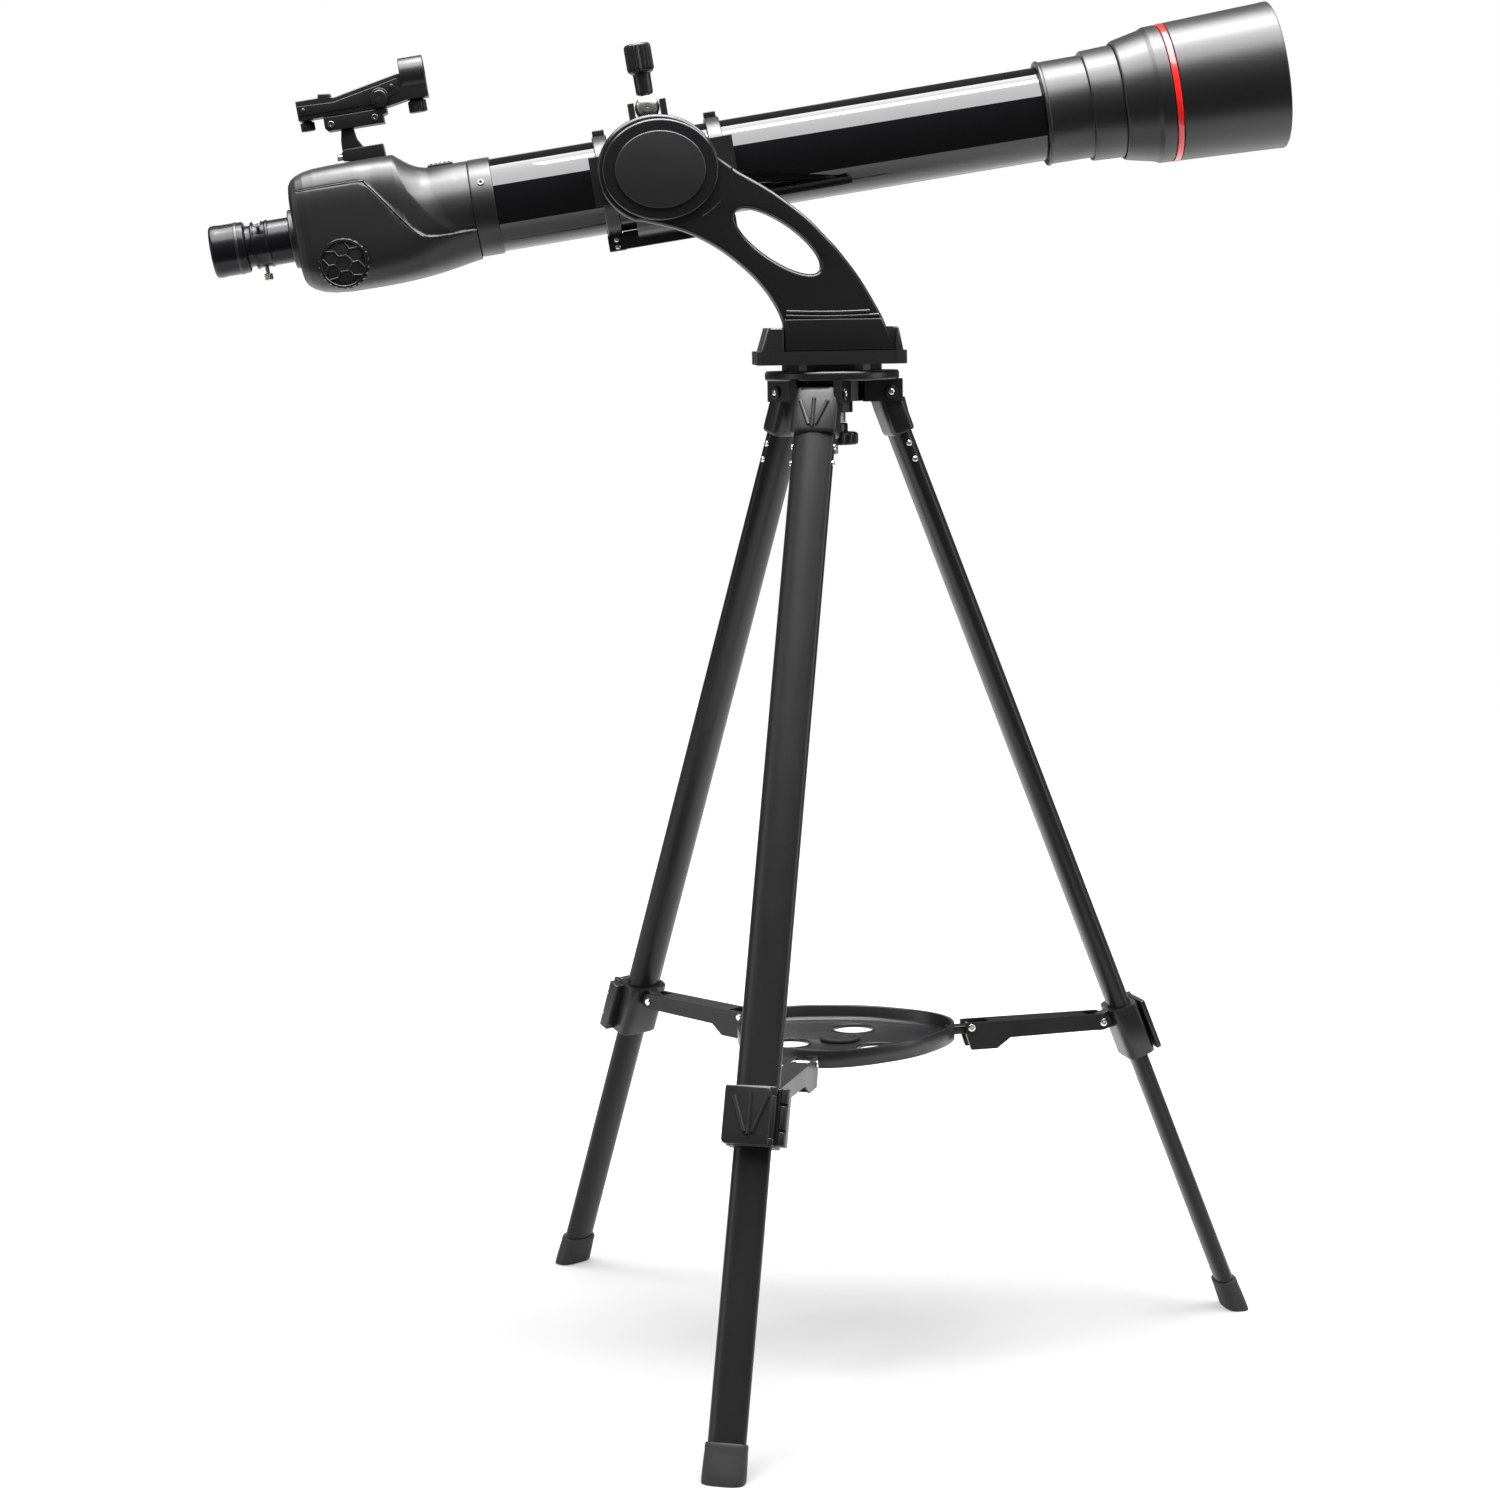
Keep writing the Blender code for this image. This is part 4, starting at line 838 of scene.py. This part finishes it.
def studio_floor():
    """Pale paper that takes the soft shadows, with a painted glow in its surface that fades it to white
    around the object.
    """
    bm = bmesh.new()
    bmesh.ops.create_circle(bm, cap_ends=True, segments=128, radius=2.6)
    bmesh.ops.translate(bm, verts=bm.verts, vec=(0, 1.95, 0))
    mesh = bpy.data.meshes.new("studio_floor")
    bm.to_mesh(mesh)
    bm.free()
    surface = bpy.data.materials.new("grey_paper_with_painted_glow")
    surface.use_nodes = True
    shader = surface.node_tree.nodes["Principled BSDF"]
    shader.inputs["Base Color"].default_value = (0.24, 0.24, 0.24, 1)
    shader.inputs["Roughness"].default_value = 0.9
    shader.inputs["Specular IOR Level"].default_value = 0.0
    shader.inputs["Emission Color"].default_value = (1, 1, 1, 1)
    nodes, links = surface.node_tree.nodes, surface.node_tree.links
    place = nodes.new("ShaderNodeTexCoord")
    reach = nodes.new("ShaderNodeVectorMath")
    reach.operation = "LENGTH"
    links.new(place.outputs["Object"], reach.inputs[0])
    # painted glow: the floor emits light, weakly near the object and at full white beyond 0.62 m, so it
    # blends into the backdrop
    painted_glow = nodes.new("ShaderNodeMapRange")
    painted_glow.inputs["From Min"].default_value, painted_glow.inputs["From Max"].default_value = 0.34, 0.62
    painted_glow.inputs["To Min"].default_value, painted_glow.inputs["To Max"].default_value = 0.27, 1.0
    links.new(reach.outputs["Value"], painted_glow.inputs["Value"])
    links.new(painted_glow.outputs["Result"], shader.inputs["Emission Strength"])
    mesh.materials.append(surface)
    floor = bpy.data.objects.new("studio_floor", mesh)
    bpy.context.scene.collection.objects.link(floor)


def softbox(name, location, aim, size, power):
    """A rectangular area light in watts, facing a point."""
    data = bpy.data.lights.new(name, "AREA")
    data.shape, data.size, data.size_y, data.energy = "RECTANGLE", size[0], size[1], power
    light = bpy.data.objects.new(name, data)
    bpy.context.scene.collection.objects.link(light)
    light.location = location
    light.rotation_euler = (Vector(aim) - Vector(location)).to_track_quat("-Z", "Y").to_euler()
    return light


def world():
    """A white background with a weak fill light."""
    made = bpy.data.worlds.new("studio")
    bpy.context.scene.world = made
    made.use_nodes = True
    nodes, links = made.node_tree.nodes, made.node_tree.links
    background = nodes["Background"]
    rays = nodes.new("ShaderNodeLightPath")
    strength = nodes.new("ShaderNodeMapRange")
    strength.inputs["To Min"].default_value = 0.10
    strength.inputs["To Max"].default_value = 1.0
    links.new(rays.outputs["Is Camera Ray"], strength.inputs["Value"])
    links.new(strength.outputs["Result"], background.inputs["Strength"])
    background.inputs["Color"].default_value = (1, 1, 1, 1)


def camera():
    """A long lens a little to the left of the mount, looking slightly down."""
    data = bpy.data.cameras.new("camera")
    focal_pixels, rise_pixels = 3302.068, 21.25
    data.sensor_width = 36.0
    data.lens = focal_pixels / FRAME_PIXELS * data.sensor_width
    data.shift_y = rise_pixels / FRAME_PIXELS
    yaw, pitch, roll = math.radians(2.67), math.radians(7.79), math.radians(-0.91)
    ahead = Vector((math.sin(yaw) * math.cos(pitch), math.cos(yaw) * math.cos(pitch), -math.sin(pitch)))
    right = Vector((math.cos(yaw), -math.sin(yaw), 0))
    up = right.cross(ahead)
    right, up = right * math.cos(roll) + up * math.sin(roll), up * math.cos(roll) - right * math.sin(roll)
    made = bpy.data.objects.new("camera", data)
    bpy.context.scene.collection.objects.link(made)
    place = Matrix((right, up, -ahead)).transposed().to_4x4()
    place.translation = MOUNT @ Vector((-184.184, -2514.307, 800.228))
    made.matrix_world = place
    data.clip_end = 100
    bpy.context.scene.camera = made


studio_floor()
world()
camera()
softbox("top_softbox", (0.15, -0.42, 2.55), (0.15, -0.42, 0), (3.4, 2.3), 300)
softbox("overhead_key", (-0.05, 0.02, 3.3), (-0.05, 0.02, 0), (1.5, 0.4), 72)
softbox("left_softbox", (-2.2, -0.5, 1.0), (0, 0, 0.7), (0.7, 1.8), 7)
softbox("right_softbox", (2.3, -0.4, 1.1), (0, 0, 0.7), (0.7, 1.8), 12)
softbox("rear_softbox", (-0.4, 2.2, 1.4), (0, 0, 0.7), (1.2, 0.8), 3)
bpy.context.scene.view_settings.view_transform = "Standard"
